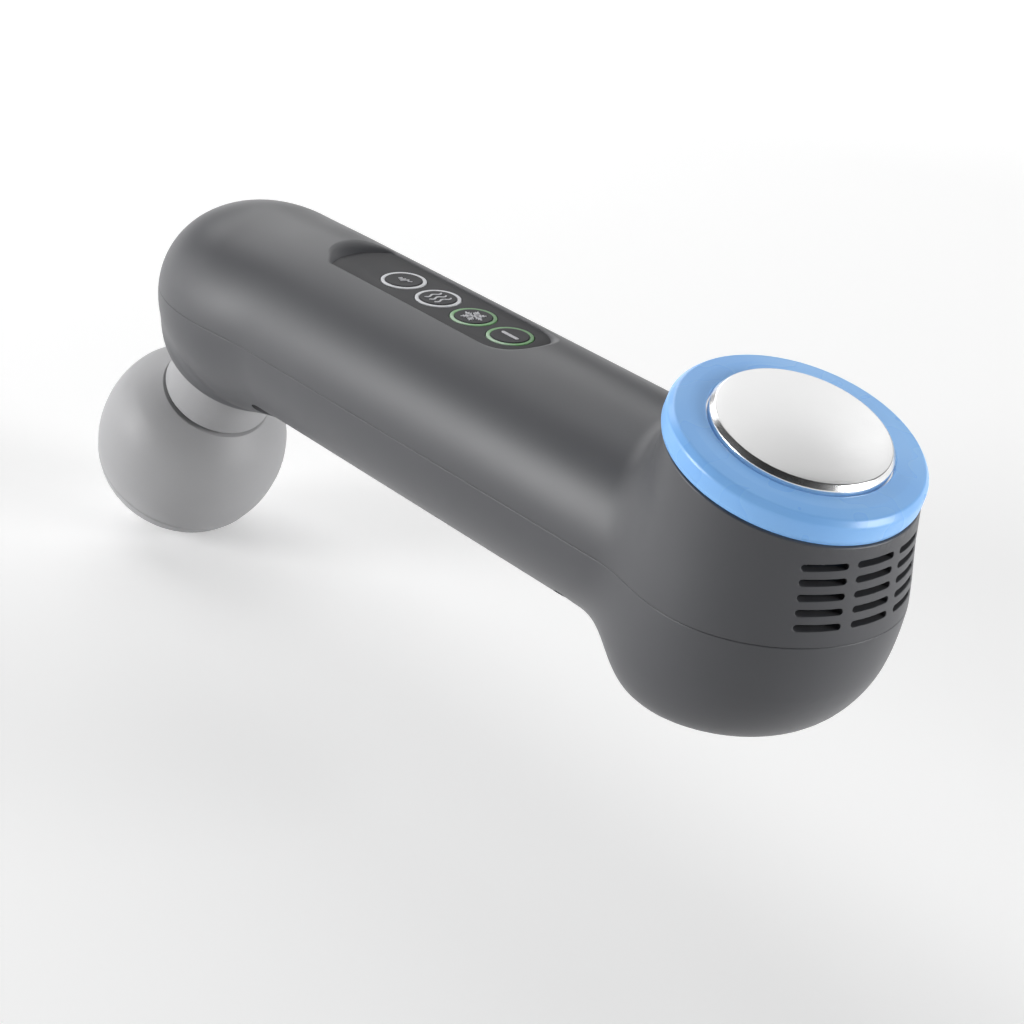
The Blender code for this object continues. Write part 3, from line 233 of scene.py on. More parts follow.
class MassagerSizes(bpy.types.PropertyGroup):
    seam_gap: bpy.props.FloatProperty(
        name="Parting gap", description="Width of the line between the two housing halves",
        default=0.02 * MM, min=0, max=1 * MM, unit="LENGTH")
    seam_rounding: bpy.props.FloatProperty(
        name="Parting edge", description="Radius of the lower half's edge at the parting line",
        default=0.3 * MM, min=0.05 * MM, max=1 * MM, unit="LENGTH")
    slot_length: bpy.props.FloatProperty(
        name="Slot length", description="Length of a vent slot",
        default=8.6 * MM, min=2 * MM, max=10 * MM, unit="LENGTH")
    slot_height: bpy.props.FloatProperty(
        name="Slot height", description="Height of a vent slot",
        default=1.2 * MM, min=0.5 * MM, max=2.5 * MM, unit="LENGTH")
    slot_pitch: bpy.props.FloatProperty(
        name="Slot pitch", description="From one row of vent slots to the next",
        default=2.80 * MM, min=1 * MM, max=5 * MM, unit="LENGTH")
    slot_top_row: bpy.props.FloatProperty(
        name="Top row", description="Height of the top row of slots over the handle's axis",
        default=15.0 * MM, min=10 * MM, max=20 * MM, unit="LENGTH")
    slot_rows: bpy.props.IntProperty(
        name="Slot rows", description="Rows of vent slots", default=5, min=1, max=6)
    slot_columns: bpy.props.IntProperty(
        name="Slot columns", description="Columns of vent slots", default=3, min=1, max=5)
    slot_turn: bpy.props.FloatProperty(
        name="Column angle", description="Turn about the bulb from one column to the next",
        default=math.radians(25), min=math.radians(20), max=math.radians(60), unit="ROTATION")
    slot_start: bpy.props.FloatProperty(
        name="Middle column angle", description="Turn of the middle column from the handle's line",
        default=math.radians(-2.0), min=math.radians(-10), max=math.radians(10), unit="ROTATION")
    scoop: bpy.props.FloatProperty(
        name="Panel scoop", description="Radius of the housing's edge at the panel's ends",
        default=5 * MM, min=1 * MM, max=6 * MM, unit="LENGTH")
    icon_stroke: bpy.props.FloatProperty(
        name="Icon stroke", description="Width of the strokes of the button icons",
        default=0.38 * MM, min=0.1 * MM, max=1 * MM, unit="LENGTH")
    plate_crown: bpy.props.FloatProperty(
        name="Plate crown", description="How far the contact plate's face falls to its edge",
        default=0.35 * MM, min=0, max=1 * MM, unit="LENGTH")


def colour_property(name, description, default):
    return bpy.props.FloatVectorProperty(name=name, description=description, default=default,
                                         min=0, max=1, size=3, subtype="COLOR")


class MassagerColours(bpy.types.PropertyGroup):
    housing: colour_property("Housing", "Moulded housing", (0.094, 0.096, 0.104))
    panel: colour_property("Panel", "Control panel and button caps", (0.038, 0.038, 0.043))
    ball: colour_property("Ball", "Ball head", (0.45, 0.45, 0.46))
    collar: colour_property("Collar", "Collar between head and ball", (0.42, 0.42, 0.43))
    glow: colour_property("Light ring", "Ring round the contact plate", (0.27, 0.52, 0.88))
    glow_deep: colour_property("Light ring depth", "Deeper patches of the ring",
                               (0.19, 0.43, 0.83))
    plate: colour_property("Plate", "Contact plate", (0.86, 0.86, 0.86))
    halo_white: colour_property("White halo", "Light rings of the first two buttons",
                                (0.70, 0.71, 0.74))
    halo_green: colour_property("Green halo", "Light rings of the last two buttons",
                                (0.13, 0.36, 0.12))
    icon: colour_property("Icons", "Icons on the button caps", (0.62, 0.62, 0.65))
    floor: colour_property("Floor", "Studio floor", (0.92, 0.92, 0.92))


# Meshes

def new_object(name, mesh, mat=None):
    obj = bpy.data.objects.new(name, mesh)
    bpy.context.scene.collection.objects.link(obj)
    if mat:
        mesh.materials.clear()
        mesh.materials.append(mat)
    return obj


def mesh_object(name, points, faces, mat=None, sharp=40, place=None):
    """A closed mesh with its faces outward and its place in its points."""
    bm = bmesh.new()
    verts = [bm.verts.new(p) for p in points]
    for face in faces:
        bm.faces.new([verts[i] for i in face])
    if place:
        bmesh.ops.transform(bm, matrix=place, verts=bm.verts)
    bmesh.ops.recalc_face_normals(bm, faces=bm.faces)
    return bm_object(name, bm, mat, sharp)


def bm_object(name, bm, mat=None, sharp=40):
    mesh = bpy.data.meshes.new(name)
    bm.to_mesh(mesh)
    bm.free()
    mesh.shade_smooth()
    mesh.set_sharp_from_angle(angle=math.radians(sharp))
    return new_object(name, mesh, mat)


def rounded(profile, steps=5, closed=True):
    """A profile of (across, along, rounding) corners with each corner rounded."""
    result, n = [], len(profile)
    for i, (x, y, r) in enumerate(profile):
        here = Vector((x, y))
        if r <= 0 or (not closed and i in (0, n - 1)):
            result.append((x, y))
            continue
        back = Vector(profile[i - 1][:2]) - here
        ahead = Vector(profile[(i + 1) % n][:2]) - here
        cut = min(r / math.tan(back.angle(ahead) / 2), back.length * 0.49, ahead.length * 0.49)
        a, b = here + back.normalized() * cut, here + ahead.normalized() * cut
        for k in range(steps + 1):
            t = k / steps
            p = a * (1 - t) ** 2 + here * 2 * t * (1 - t) + b * t ** 2
            result.append((p.x, p.y))
    return result


def turned(name, profile, mat=None, place=BODY, around=LATHE_AROUND, closed=False, sharp=40):
    """Turns (radius, height) points about the Z of its place. A closed profile makes a ring."""
    points, rows, faces = [], [], []
    for r, z in profile:
        count = 1 if r < 1e-7 else around
        rows.append(list(range(len(points), len(points) + count)))
        angles = [2 * math.pi * i / around for i in range(count)]
        points += [(r * math.cos(a), r * math.sin(a), z) for a in angles]
    pairs = list(zip(rows, rows[1:])) + ([(rows[-1], rows[0])] if closed else [])
    for low, high in pairs:
        for i in range(around):
            j = (i + 1) % around
            corners = [low[i % len(low)], low[j % len(low)], high[j % len(high)],
                       high[i % len(high)]]
            face = list(dict.fromkeys(corners))
            if len(face) > 2:
                faces.append(face)
    return mesh_object(name, points, faces, mat, sharp, place)


def plug(name, steps, place=BODY, around=LATHE_AROUND):
    """A turned solid from the (radius, height) steps of its side."""
    return turned(name, [(0, steps[0][1]), *steps, (0, steps[-1][1])], place=place,
                  around=around)


def spot(x, y=0.0):
    """The handle's frame, moved to a place along and across it."""
    return BODY @ Matrix.Translation((x, y, 0))


def lofted(name, loops, mat=None, place=None, sharp=40):
    """A closed body from loops of the same number of points, capped at both ends."""
    n = len(loops[0])
    points = [p for loop in loops for p in loop]
    faces = [tuple(range(n)), tuple(range(len(points) - n, len(points)))]
    for k in range(len(loops) - 1):
        a, b = k * n, (k + 1) * n
        faces += [(a + i, a + (i + 1) % n, b + (i + 1) % n, b + i) for i in range(n)]
    return mesh_object(name, points, faces, mat, sharp, place)


def raised(name, outline, low, high, mat=None, place=BODY, rounding=0.0):
    """A plate of that outline, with its upper edge rounded."""
    outline = np.array(outline)
    out = outline_normals(outline)
    loops = [(outline, low), (outline, high - rounding)]
    for turn in (25, 50, 70, 90) if rounding else ():
        a = math.radians(turn)
        loops.append((outline - out * rounding * (1 - math.cos(a)),
                      high - rounding * (1 - math.sin(a))))
    if not rounding:
        loops[1] = (outline, high)
    return lofted(name, [[(x, y, z) for x, y in loop] for loop, z in loops], mat, place)


def outline_normals(outline):
    """Unit normals of a closed outline, pointing out of it."""
    along = np.roll(outline, -1, axis=0) - np.roll(outline, 1, axis=0)
    out = np.column_stack([along[:, 1], -along[:, 0]])
    out /= np.linalg.norm(out, axis=1)[:, None]
    area = np.sum(outline[:, 0] * np.roll(outline[:, 1], -1)
                  - outline[:, 1] * np.roll(outline[:, 0], -1))
    return out if area > 0 else -out


def arc(x, y, r, start, end, steps):
    angles = np.radians(np.linspace(start, end, steps + 1))
    return [(x + r * math.cos(a), y + r * math.sin(a)) for a in angles]


def stadium(length, height, steps=8, sides=6):
    """A long hole's outline with half-round ends, with points along its straight sides too."""
    r = height / 2
    half = length / 2 - r
    spread = np.linspace(-half, half, sides + 1)[1:-1]
    return (arc(half, 0, r, -90, 90, steps) + [(x, r) for x in spread[::-1]]
            + arc(-half, 0, r, 90, 270, steps) + [(x, -r) for x in spread])


def panel_outline(grow=0.0, side_points=24):
    """Straight sides, a bulged end by the head and an oval end by the bulb."""
    half = PANEL_WIDTH / 2
    r = (half ** 2 + PANEL_END_BULGE ** 2) / (2 * PANEL_END_BULGE)
    opening = math.degrees(math.asin(half / r))
    oval_x = PANEL_X + PANEL_LENGTH / 2 - PANEL_OVAL
    right = [(oval_x + PANEL_OVAL * x, half * y) for x, y in arc(0, 0, 1, -90, 90, 32)]
    left = arc(PANEL_X - PANEL_LENGTH / 2 + r, 0, r, 180 - opening, 180 + opening, 16)
    top = [(x, half) for x in np.linspace(right[-1][0], left[0][0], side_points)[1:-1]]
    outline = np.array(right + top + left + [(x, -half) for x, _ in top[::-1]])
    return outline + outline_normals(outline) * grow


def boolean(target, operation, *tools):
    """Cuts or joins the tools into the target, and removes them."""
    for tool in tools:
        mod = target.modifiers.new("Cut", "BOOLEAN")
        mod.operation = operation
        mod.solver = "EXACT"
        mod.object = tool
        bpy.context.view_layer.update()
        graph = bpy.context.evaluated_depsgraph_get()
        mesh = bpy.data.meshes.new_from_object(target.evaluated_get(graph))
        target.modifiers.clear()
        old, target.data = target.data, mesh
        bpy.data.meshes.remove(old)
        bpy.data.objects.remove(tool, do_unlink=True)
    target.data.name = target.name
    return target


def joined(name, objects):
    """One object from several that don't meet."""
    bm = bmesh.new()
    for obj in objects:
        bm.from_mesh(obj.data)
        bpy.data.objects.remove(obj, do_unlink=True)
    return bm_object(name, bm)


# Housing skin: where a field over the handle, head and bulb is zero

def smooth_min(a, b, k):
    h = np.clip(0.5 + 0.5 * (b - a) / k, 0, 1)
    return b * (1 - h) + a * h - k * h * (1 - h)


def housing_field(p):
    """How far points lie outside the housing, below zero inside it. z is from the handle's axis."""
    x, y, z = p[:, 0], p[:, 1], p[:, 2]
    end = HEAD_X + HEAD_INSET
    along = np.clip(x, end, BULB_X)
    share = np.clip((end + HEAD_RUN - along) / HEAD_RUN, 0, 1)
    share = share * share * (3 - 2 * share)
    stretch = np.where(x < end, HEAD_STRETCH, 1.0)
    handle = (np.sqrt((x - along) ** 2 * stretch + y ** 2 + (z + HEAD_SAG * share) ** 2)
              - HANDLE_R - (HEAD_R - HANDLE_R) * share)
    hx, hz = x - HEAD_X, z + HEAD_DROP
    t = hx * BALL_DIR[0] + hz * BALL_DIR[2]
    out = np.sqrt(np.maximum(hx ** 2 + y ** 2 + hz ** 2 - t ** 2, 0))
    qr = out - (BOSS_R - BOSS_ROUNDING)
    qt = t - (BOSS_REACH - BOSS_ROUNDING)
    boss = np.where(t > 0, np.hypot(np.maximum(qr, 0), np.maximum(qt, 0))
                    + np.minimum(np.maximum(qr, qt), 0) - BOSS_ROUNDING,
                    np.hypot(out, t) - BOSS_R)
    rise = np.clip(z / RING_RISE, 0, 2)
    trim = SEAM_TRIM * np.clip(1 - np.abs(z) / np.where(z > 0, RING_RISE, SEAM_TRIM_DEPTH), 0, 1)
    rx = BULB_R + (RIM_R * math.cos(RING_TILT) - BULB_R) * rise - trim
    ry = BULB_R + (RIM_R - BULB_R) * rise
    cx = BULB_X + RING_AHEAD * rise + BOWL_SLOPE * np.minimum(z, 0) - trim
    across = np.hypot((x - cx) / rx, y / ry)
    low = np.abs(np.minimum(z, 0)) / BULB_DEPTH
    high = np.maximum(z, 0) / (2 * RING_RISE)
    bowl = (across ** BOWL_SQUARENESS + low ** BOWL_SQUARENESS) ** (1 / BOWL_SQUARENESS)
    wall = (across ** BARREL_SQUARENESS + high ** BARREL_SQUARENESS) ** (1 / BARREL_SQUARENESS)
    bulb = (np.where(z < 0, bowl, wall) - 1) * np.minimum(rx, ry)
    blend = BULB_BLEND + (LOW_BLEND - BULB_BLEND) * np.clip(-z / LOW_BLEND_DEPTH, 0, 1)
    whole = smooth_min(smooth_min(handle, boss, HEAD_BLEND), bulb, blend)
    return np.maximum(whole, t - BOSS_REACH)


def outward(p):
    """The skin's normals at points."""
    step = 0.02 * MM
    slope = np.column_stack([housing_field(p + d) - housing_field(p - d)
                             for d in np.eye(3) * step])
    return slope / np.maximum(np.linalg.norm(slope, axis=1), 1e-12)[:, None]


def reach_skin(starts, rays, level=0.0):
    """How far each ray goes from inside the housing to its skin."""
    near, far = np.zeros(len(rays)), np.full(len(rays), HANDLE_LENGTH)
    for _ in range(40):
        middle = (near + far) / 2
        inside = housing_field(starts + rays * middle[:, None]) < level
        near, far = np.where(inside, middle, near), np.where(inside, far, middle)
    return near


def key_rays(around):
    """Loops of rays from the bulb's far wall along the handle and round into the head."""
    ahead, up = Vector((1, 0, 0)), Vector((0, 0, 1))
    centre = Vector((BULB_X - RING_AHEAD * 2, 0, 0))
    keys = [(centre, ahead, up, math.radians(angle), 4)
            for angle in BULB_CONES]
    start = centre.x - HANDLE_R
    stop = HEAD_X + HEAD_R * 0.92
    for share in HANDLE_SHARES:
        cone = max(0.0, 1 - share / 0.35)
        x = start + (stop - start) * share
        keys.append((Vector((x + HANDLE_R * cone, 0, 0)), ahead, up,
                     math.pi / 2 + math.atan(cone), 4 if share < 0.2 else 18))
    drop = HANDLE_R * 1.18
    pivot = Vector((stop, 0, -drop))
    head = Vector((HEAD_X, 0, -HEAD_DROP))
    for share in HEAD_SHARES:
        b = (math.pi / 2 - HEAD_LEAN) * share
        axis = Vector((math.cos(b), 0, math.sin(b)))
        lift = Vector((-math.sin(b), 0, math.cos(b)))
        origin = pivot + lift * ((head - pivot).dot(lift) * share + drop * (1 - share))
        keys.append((origin, axis, lift, math.pi / 2, 5))
    for angle in BOSS_CONES:
        keys.append((origin, axis, lift, math.radians(angle), 5))
    turn = 2 * np.pi * (np.arange(around) + 0.5)[:, None] / around
    starts, rays = [], []
    for origin, axis, lift, cone, _ in keys:
        across = np.cos(turn) * np.array(lift) + np.sin(turn) * np.array((0, 1, 0))
        starts.append(np.tile(np.array(origin), (around, 1)))
        rays.append(math.cos(cone) * np.array(axis) + math.sin(cone) * across)
    return starts, rays, [key[4] for key in keys]


def skin(name, level, around, fine=True):
    """The closed skin at one depth inside the housing's surface."""
    key_starts, key_dirs, counts = key_rays(around)
    starts, rays = [], []
    for k in range(len(key_starts) - 1):
        steps = counts[k + 1] if fine else 2
        for s in range(steps):
            t = s / steps
            starts.append(key_starts[k] * (1 - t) + key_starts[k + 1] * t)
            rays.append(key_dirs[k] * (1 - t) + key_dirs[k + 1] * t)
    starts.append(key_starts[-1])
    rays.append(key_dirs[-1])
    loops = len(starts)
    starts = np.concatenate([starts[0][:1], *starts, starts[-1][:1]])
    rays = np.concatenate([rays[0].mean(0)[None], *rays, rays[-1].mean(0)[None]])
    rays /= np.linalg.norm(rays, axis=1)[:, None]
    points = starts + rays * reach_skin(starts, rays, level)[:, None] + np.array(AXIS)
    faces = [(0, 1 + (i + 1) % around, 1 + i) for i in range(around)]
    for j in range(loops - 1):
        a, b = 1 + j * around, 1 + (j + 1) * around
        for i in range(around):
            k = (i + 1) % around
            faces += [(a + i, a + k, b + k), (a + i, b + k, b + i)]
    end, a = len(points) - 1, 1 + (loops - 1) * around
    faces += [(a + i, a + (i + 1) % around, end) for i in range(around)]
    return mesh_object(name, points.tolist(), faces)


def cut_flat(obj, point, normal):
    """Removes what lies past a plane, and closes the cut."""
    bm = bmesh.new()
    bm.from_mesh(obj.data)
    geom = bm.verts[:] + bm.edges[:] + bm.faces[:]
    made = bmesh.ops.bisect_plane(bm, geom=geom, plane_co=point, plane_no=normal,
                                  clear_outer=True, dist=1e-7)
    edges = [e for e in made["geom_cut"] if isinstance(e, bmesh.types.BMEdge)]
    bmesh.ops.edgeloop_fill(bm, edges=edges)
    bm.to_mesh(obj.data)
    bm.free()


def edge_depth(height, r):
    """How far a rounded edge of radius r stands back at heights over its plane."""
    t = np.clip(height, 0, r)
    return r - np.sqrt(np.maximum(r ** 2 - (r - t) ** 2, 0))


def round_edge(obj, point, normal, r):
    """Rounds the skin's edge at a cut plane. The normal points out of the body."""
    bm = bmesh.new()
    bm.from_mesh(obj.data)
    for share in (0.06, 0.2, 0.4, 0.65, 1.0):
        bmesh.ops.bisect_plane(bm, geom=bm.verts[:] + bm.edges[:] + bm.faces[:],
                               plane_co=point - normal * r * share, plane_no=normal, dist=1e-7)
    co = np.array([v.co for v in bm.verts])
    height = (np.array(point) - co) @ np.array(normal)
    out = outward(co - np.array(AXIS))
    out -= np.outer(out @ np.array(normal), normal)
    out /= np.maximum(np.linalg.norm(out, axis=1), 1e-9)[:, None]
    moved = co - out * edge_depth(height, r)[:, None]
    for vert, place, h in zip(bm.verts, moved, height):
        if h < r:
            vert.co = place
    bm.to_mesh(obj.data)
    bm.free()


def skin_normals(obj, planes):
    """Gives the outer skin its field's own normals, so that cuts leave no marks in its shading."""
    mesh = obj.data
    mesh.shade_smooth()
    mesh.set_sharp_from_angle(angle=math.radians(38))
    co = np.empty(len(mesh.vertices) * 3, np.float32)
    mesh.vertices.foreach_get("co", co)
    co = co.reshape(-1, 3).astype(float)
    depth = -housing_field(co - np.array(AXIS))
    out = outward(co - np.array(AXIS))
    expected = np.zeros(len(co))
    for point, normal, r in planes:
        height = (np.array(point) - co) @ np.array(normal)
        edge = (height < r) & (height > -1e-6)
        back = edge_depth(height, r)
        expected = np.where(edge, back, expected)
        flat = out - np.outer(out @ np.array(normal), normal)
        flat /= np.maximum(np.linalg.norm(flat, axis=1), 1e-9)[:, None]
        sine = np.clip(1 - height / r, 0, 1)[:, None]
        curved = flat * np.sqrt(1 - sine ** 2) + sine * np.array(normal)
        out = np.where(edge[:, None], curved, out)
    on_skin = np.abs(depth - expected) < 0.04 * MM
    loop_verts = np.empty(len(mesh.loops), np.int32)
    mesh.loops.foreach_get("vertex_index", loop_verts)
    face_normals = np.empty(len(mesh.polygons) * 3, np.float32)
    mesh.polygons.foreach_get("normal", face_normals)
    totals = np.empty(len(mesh.polygons), np.int32)
    mesh.polygons.foreach_get("loop_total", totals)
    loop_faces = np.repeat(face_normals.reshape(-1, 3), totals, axis=0)
    agree = np.einsum("ij,ij->i", loop_faces, out[loop_verts]) > 0.8
    normals = np.where((on_skin[loop_verts] & agree)[:, None], out[loop_verts], 0)
    mesh.normals_split_custom_set(normals.tolist())


def flared_cutter(name, outline, place, floor, top, rounding):
    """A cutter along its place's Z whose mouth is rounded over where it meets the skin."""
    outline = np.array(outline)
    out = outline_normals(outline)
    rounding = np.broadcast_to(rounding, len(outline))[:, None]
    turn, shift = np.array(place.to_3x3()), np.array(place.translation) - np.array(AXIS)
    ray = np.tile(turn[:, 2], (len(outline), 1))

    def over(q):
        starts = np.column_stack([q, np.zeros(len(q))]) @ turn.T + shift
        return reach_skin(starts, ray)[:, None]

    loops = [np.column_stack([outline, np.full(len(outline), floor)])]
    for angle in (0, 12, 24, 36, 48, 60, 72, 81):
        a = math.radians(angle)
        q = outline + out * rounding * (1 - math.cos(a))
        loops.append(np.column_stack([q, over(q) - rounding * (1 - math.sin(a))]))
    q = q + out * rounding * 0.4
    loops.append(np.column_stack([q, over(q) + rounding * 0.07 + 0.02 * MM]))
    loops.append(np.column_stack([q, np.full(len(q), top)]))
    return lofted(name, [[tuple(p) for p in loop] for loop in loops], place=place)


# Geometry Nodes

def add(tree, kind, inputs=(), **settings):
    """A node with its inputs set, each to a value or to another node's output."""
    node = tree.nodes.new(kind)
    for key, value in settings.items():
        setattr(node, key, value)
    for key, value in dict(inputs).items():
        if isinstance(value, bpy.types.NodeSocket):
            tree.links.new(value, node.inputs[key])
        else:
            node.inputs[key].default_value = value
    return node


def geometry_tree(name, inputs):
    """An empty tree with named inputs, and its group input and output."""
    tree = bpy.data.node_groups.new(name, "GeometryNodeTree")
    tree.interface.new_socket("Geometry", in_out="INPUT", socket_type="NodeSocketGeometry")
    for label, kind in inputs:
        tree.interface.new_socket(label, in_out="INPUT", socket_type="NodeSocket" + kind)
    tree.interface.new_socket("Geometry", in_out="OUTPUT", socket_type="NodeSocketGeometry")
    return tree, tree.nodes.new("NodeGroupInput").outputs


def close_tree(tree, instances, mat):
    real = add(tree, "GeometryNodeRealizeInstances", {"Geometry": instances})
    painted = add(tree, "GeometryNodeSetMaterial", {"Geometry": real.outputs[0], "Material": mat})
    add(tree, "NodeGroupOutput", {"Geometry": painted.outputs[0]})


def run_tree(name, tree, values, base=None):
    """Runs a tree on an empty mesh and keeps its result as a plain mesh."""
    obj = new_object(name, base or bpy.data.meshes.new(name))
    mod = obj.modifiers.new(tree.name, "NODES")
    mod.node_group = tree
    sockets = {item.name: item.identifier for item in tree.interface.items_tree
               if item.in_out == "INPUT"}
    for label, value in values.items():
        mod[sockets[label]] = value
    bpy.context.view_layer.update()
    graph = bpy.context.evaluated_depsgraph_get()
    mesh = bpy.data.meshes.new_from_object(obj.evaluated_get(graph))
    obj.modifiers.clear()
    obj.data = mesh
    mesh.name = name
    if not mesh.polygons:
        raise RuntimeError("the tree " + tree.name + " made no faces for " + name)
    return obj


def slots_tree():
    """Rows and columns of a shape set on a wall round an upright axis."""
    tree, given = geometry_tree("Slots on a wall", [
        ("Shape", "Object"), ("Wall", "Object"), ("Rows", "Int"), ("Columns", "Int"),
        ("Pitch", "Float"), ("Column angle", "Float"), ("Start angle", "Float"),
        ("Top row", "Vector"),
        ("Material", "Material")])

    index = add(tree, "GeometryNodeInputIndex").outputs[0]
    row = maths(tree, "FLOORED_MODULO", index, given["Rows"])
    column = maths(tree, "FLOOR", maths(tree, "DIVIDE", index, given["Rows"]))
    middle = maths(tree, "DIVIDE", maths(tree, "SUBTRACT", given["Columns"], 1.0), 2.0)
    angle = maths(tree, "ADD", maths(tree, "MULTIPLY", maths(tree, "SUBTRACT", column, middle),
                               given["Column angle"]), given["Start angle"])
    drop = maths(tree, "MULTIPLY", maths(tree, "MULTIPLY", row, given["Pitch"]), -1.0)
    place = add(tree, "ShaderNodeVectorMath", {
        0: given["Top row"],
        1: add(tree, "ShaderNodeCombineXYZ", {"Z": drop}).outputs[0]}).outputs[0]
    ray = add(tree, "ShaderNodeCombineXYZ", {
        "X": maths(tree, "COSINE", angle), "Y": maths(tree, "SINE", angle)}).outputs[0]
    wall = add(tree, "GeometryNodeObjectInfo", {"Object": given["Wall"]},
               transform_space="RELATIVE").outputs["Geometry"]
    hit = add(tree, "GeometryNodeRaycast", {
        "Target Geometry": wall, "Source Position": place, "Ray Direction": ray,
        "Ray Length": HANDLE_LENGTH}).outputs["Hit Position"]
    points = add(tree, "GeometryNodePoints", {
        "Count": maths(tree, "MULTIPLY", given["Rows"], given["Columns"]), "Position": hit})
    shape = add(tree, "GeometryNodeObjectInfo", {"Object": given["Shape"]}).outputs["Geometry"]
    turn = add(tree, "ShaderNodeCombineXYZ", {"Z": angle}).outputs[0]
    spread = add(tree, "GeometryNodeInstanceOnPoints", {
        "Points": points.outputs[0], "Instance": shape, "Rotation": turn})
    close_tree(tree, spread.outputs[0], given["Material"])
    return tree


def spread_tree():
    """A shape at each vertex of the base mesh, each turned a step further about an axis."""
    tree, given = geometry_tree("Spread on points", [
        ("Shape", "Object"), ("Step", "Vector"), ("Material", "Material")])
    index = add(tree, "GeometryNodeInputIndex").outputs[0]
    turn = add(tree, "ShaderNodeVectorMath", {0: given["Step"], "Scale": index},
               operation="SCALE").outputs[0]
    points = add(tree, "GeometryNodeMeshToPoints", {"Mesh": given["Geometry"]})
    shape = add(tree, "GeometryNodeObjectInfo", {"Object": given["Shape"]}).outputs["Geometry"]
    spread = add(tree, "GeometryNodeInstanceOnPoints", {
        "Points": points.outputs[0], "Instance": shape, "Rotation": turn})
    close_tree(tree, spread.outputs[0], given["Material"])
    return tree


def spread(name, shape, places, mat, step=(0, 0, 0)):
    """Copies of a shape at places, by the tree, as one plain mesh. The shape is removed."""
    base = bpy.data.meshes.new(name)
    base.from_pydata([tuple(p) for p in places], [], [])
    tree = bpy.data.node_groups.get("Spread on points") or spread_tree()
    obj = run_tree(name, tree, {"Shape": shape, "Step": step, "Material": mat}, base)
    bpy.data.objects.remove(shape, do_unlink=True)
    return obj


# Materials

def shader_group(name, inputs, outputs):
    group = bpy.data.node_groups.new(name, "ShaderNodeTree")
    for label, kind in inputs:
        group.interface.new_socket(label, in_out="INPUT", socket_type="NodeSocket" + kind)
    for label, kind in outputs:
        group.interface.new_socket(label, in_out="OUTPUT", socket_type="NodeSocket" + kind)
    return group, group.nodes.new("NodeGroupInput").outputs


def noise(tree, vector, scale, detail=2.0, roughness=0.5):
    return add(tree, "ShaderNodeTexNoise", {"Vector": vector, "Scale": scale, "Detail": detail,
                                            "Roughness": roughness}).outputs["Fac"]


def remap(tree, value, low, high, start=0.3, end=0.7):
    return add(tree, "ShaderNodeMapRange", {
        "Value": value, "From Min": start, "From Max": end, "To Min": low,
        "To Max": high}).outputs["Result"]


def maths(tree, operation, a, b=0.0):
    return add(tree, "ShaderNodeMath", {0: a, 1: b}, operation=operation).outputs[0]


def moulded_group():
    """Moulded plastic: a fine spark-eroded grain, faint clouding and worn-in gloss patches."""
    tree, given = shader_group(
        "Moulded plastic",
        [("Colour", "Color"), ("Clouding", "Float"), ("Roughness", "Float"),
         ("Gloss patches", "Float"), ("Grain size", "Float")],
        [("Colour", "Color"), ("Roughness", "Float"), ("Height", "Float")])
    place = add(tree, "ShaderNodeTexCoord").outputs["Object"]
    cloud = remap(tree, noise(tree, place, 55.0, 3.0), -1.0, 1.0)
    speck = remap(tree, noise(tree, place, 2600.0, 2.0), -1.0, 1.0)
    tone = maths(tree, "ADD", cloud, maths(tree, "MULTIPLY", speck, 0.35))
    factor = maths(tree, "ADD", maths(tree, "MULTIPLY", tone, given["Clouding"]), 1.0)
    colour = add(tree, "ShaderNodeVectorMath", {0: given["Colour"], "Scale": factor},
                 operation="SCALE").outputs[0]
    patch = remap(tree, noise(tree, place, 24.0, 4.0, 0.6), -1.0, 1.0)
    rough = maths(tree, "ADD", maths(tree, "MULTIPLY", patch, given["Gloss patches"]),
                  given["Roughness"])
    scale = maths(tree, "DIVIDE", 1.0, given["Grain size"])
    grain = noise(tree, place, scale, 3.0, 0.6)
    add(tree, "NodeGroupOutput", {"Colour": colour, "Roughness": rough, "Height": grain})
    return tree


def spun_group():
    """Spun metal: fine circular lathe lines about the object's Z, broken up by soft smears."""
    tree, given = shader_group(
        "Spun metal",
        [("Vector", "Vector"), ("Colour", "Color"), ("Roughness", "Float"), ("Lines", "Float"),
         ("Smears", "Float")],
        [("Colour", "Color"), ("Roughness", "Float"), ("Height", "Float")])
    split = add(tree, "ShaderNodeSeparateXYZ", {0: given["Vector"]}).outputs
    radius = maths(tree, "SQRT", maths(tree, "ADD", maths(tree, "MULTIPLY", split[0], split[0]),
                                       maths(tree, "MULTIPLY", split[1], split[1])))
    line_place = add(tree, "ShaderNodeCombineXYZ", {"X": radius}).outputs[0]
    lines = noise(tree, line_place, given["Lines"], 4.0, 0.7)
    smear = remap(tree, noise(tree, given["Vector"], 45.0, 4.0, 0.6), -1.0, 1.0)
    rough = maths(tree, "ADD", given["Roughness"],
                  maths(tree, "ADD", maths(tree, "MULTIPLY", smear, given["Smears"]),
                        remap(tree, lines, -0.02, 0.02)))
    factor = maths(tree, "ADD", 1.0, maths(tree, "MULTIPLY", remap(tree, lines, -1.0, 1.0), 0.012))
    colour = add(tree, "ShaderNodeVectorMath", {0: given["Colour"], "Scale": factor},
                 operation="SCALE").outputs[0]
    add(tree, "NodeGroupOutput", {"Colour": colour, "Roughness": rough, "Height": lines})
    return tree


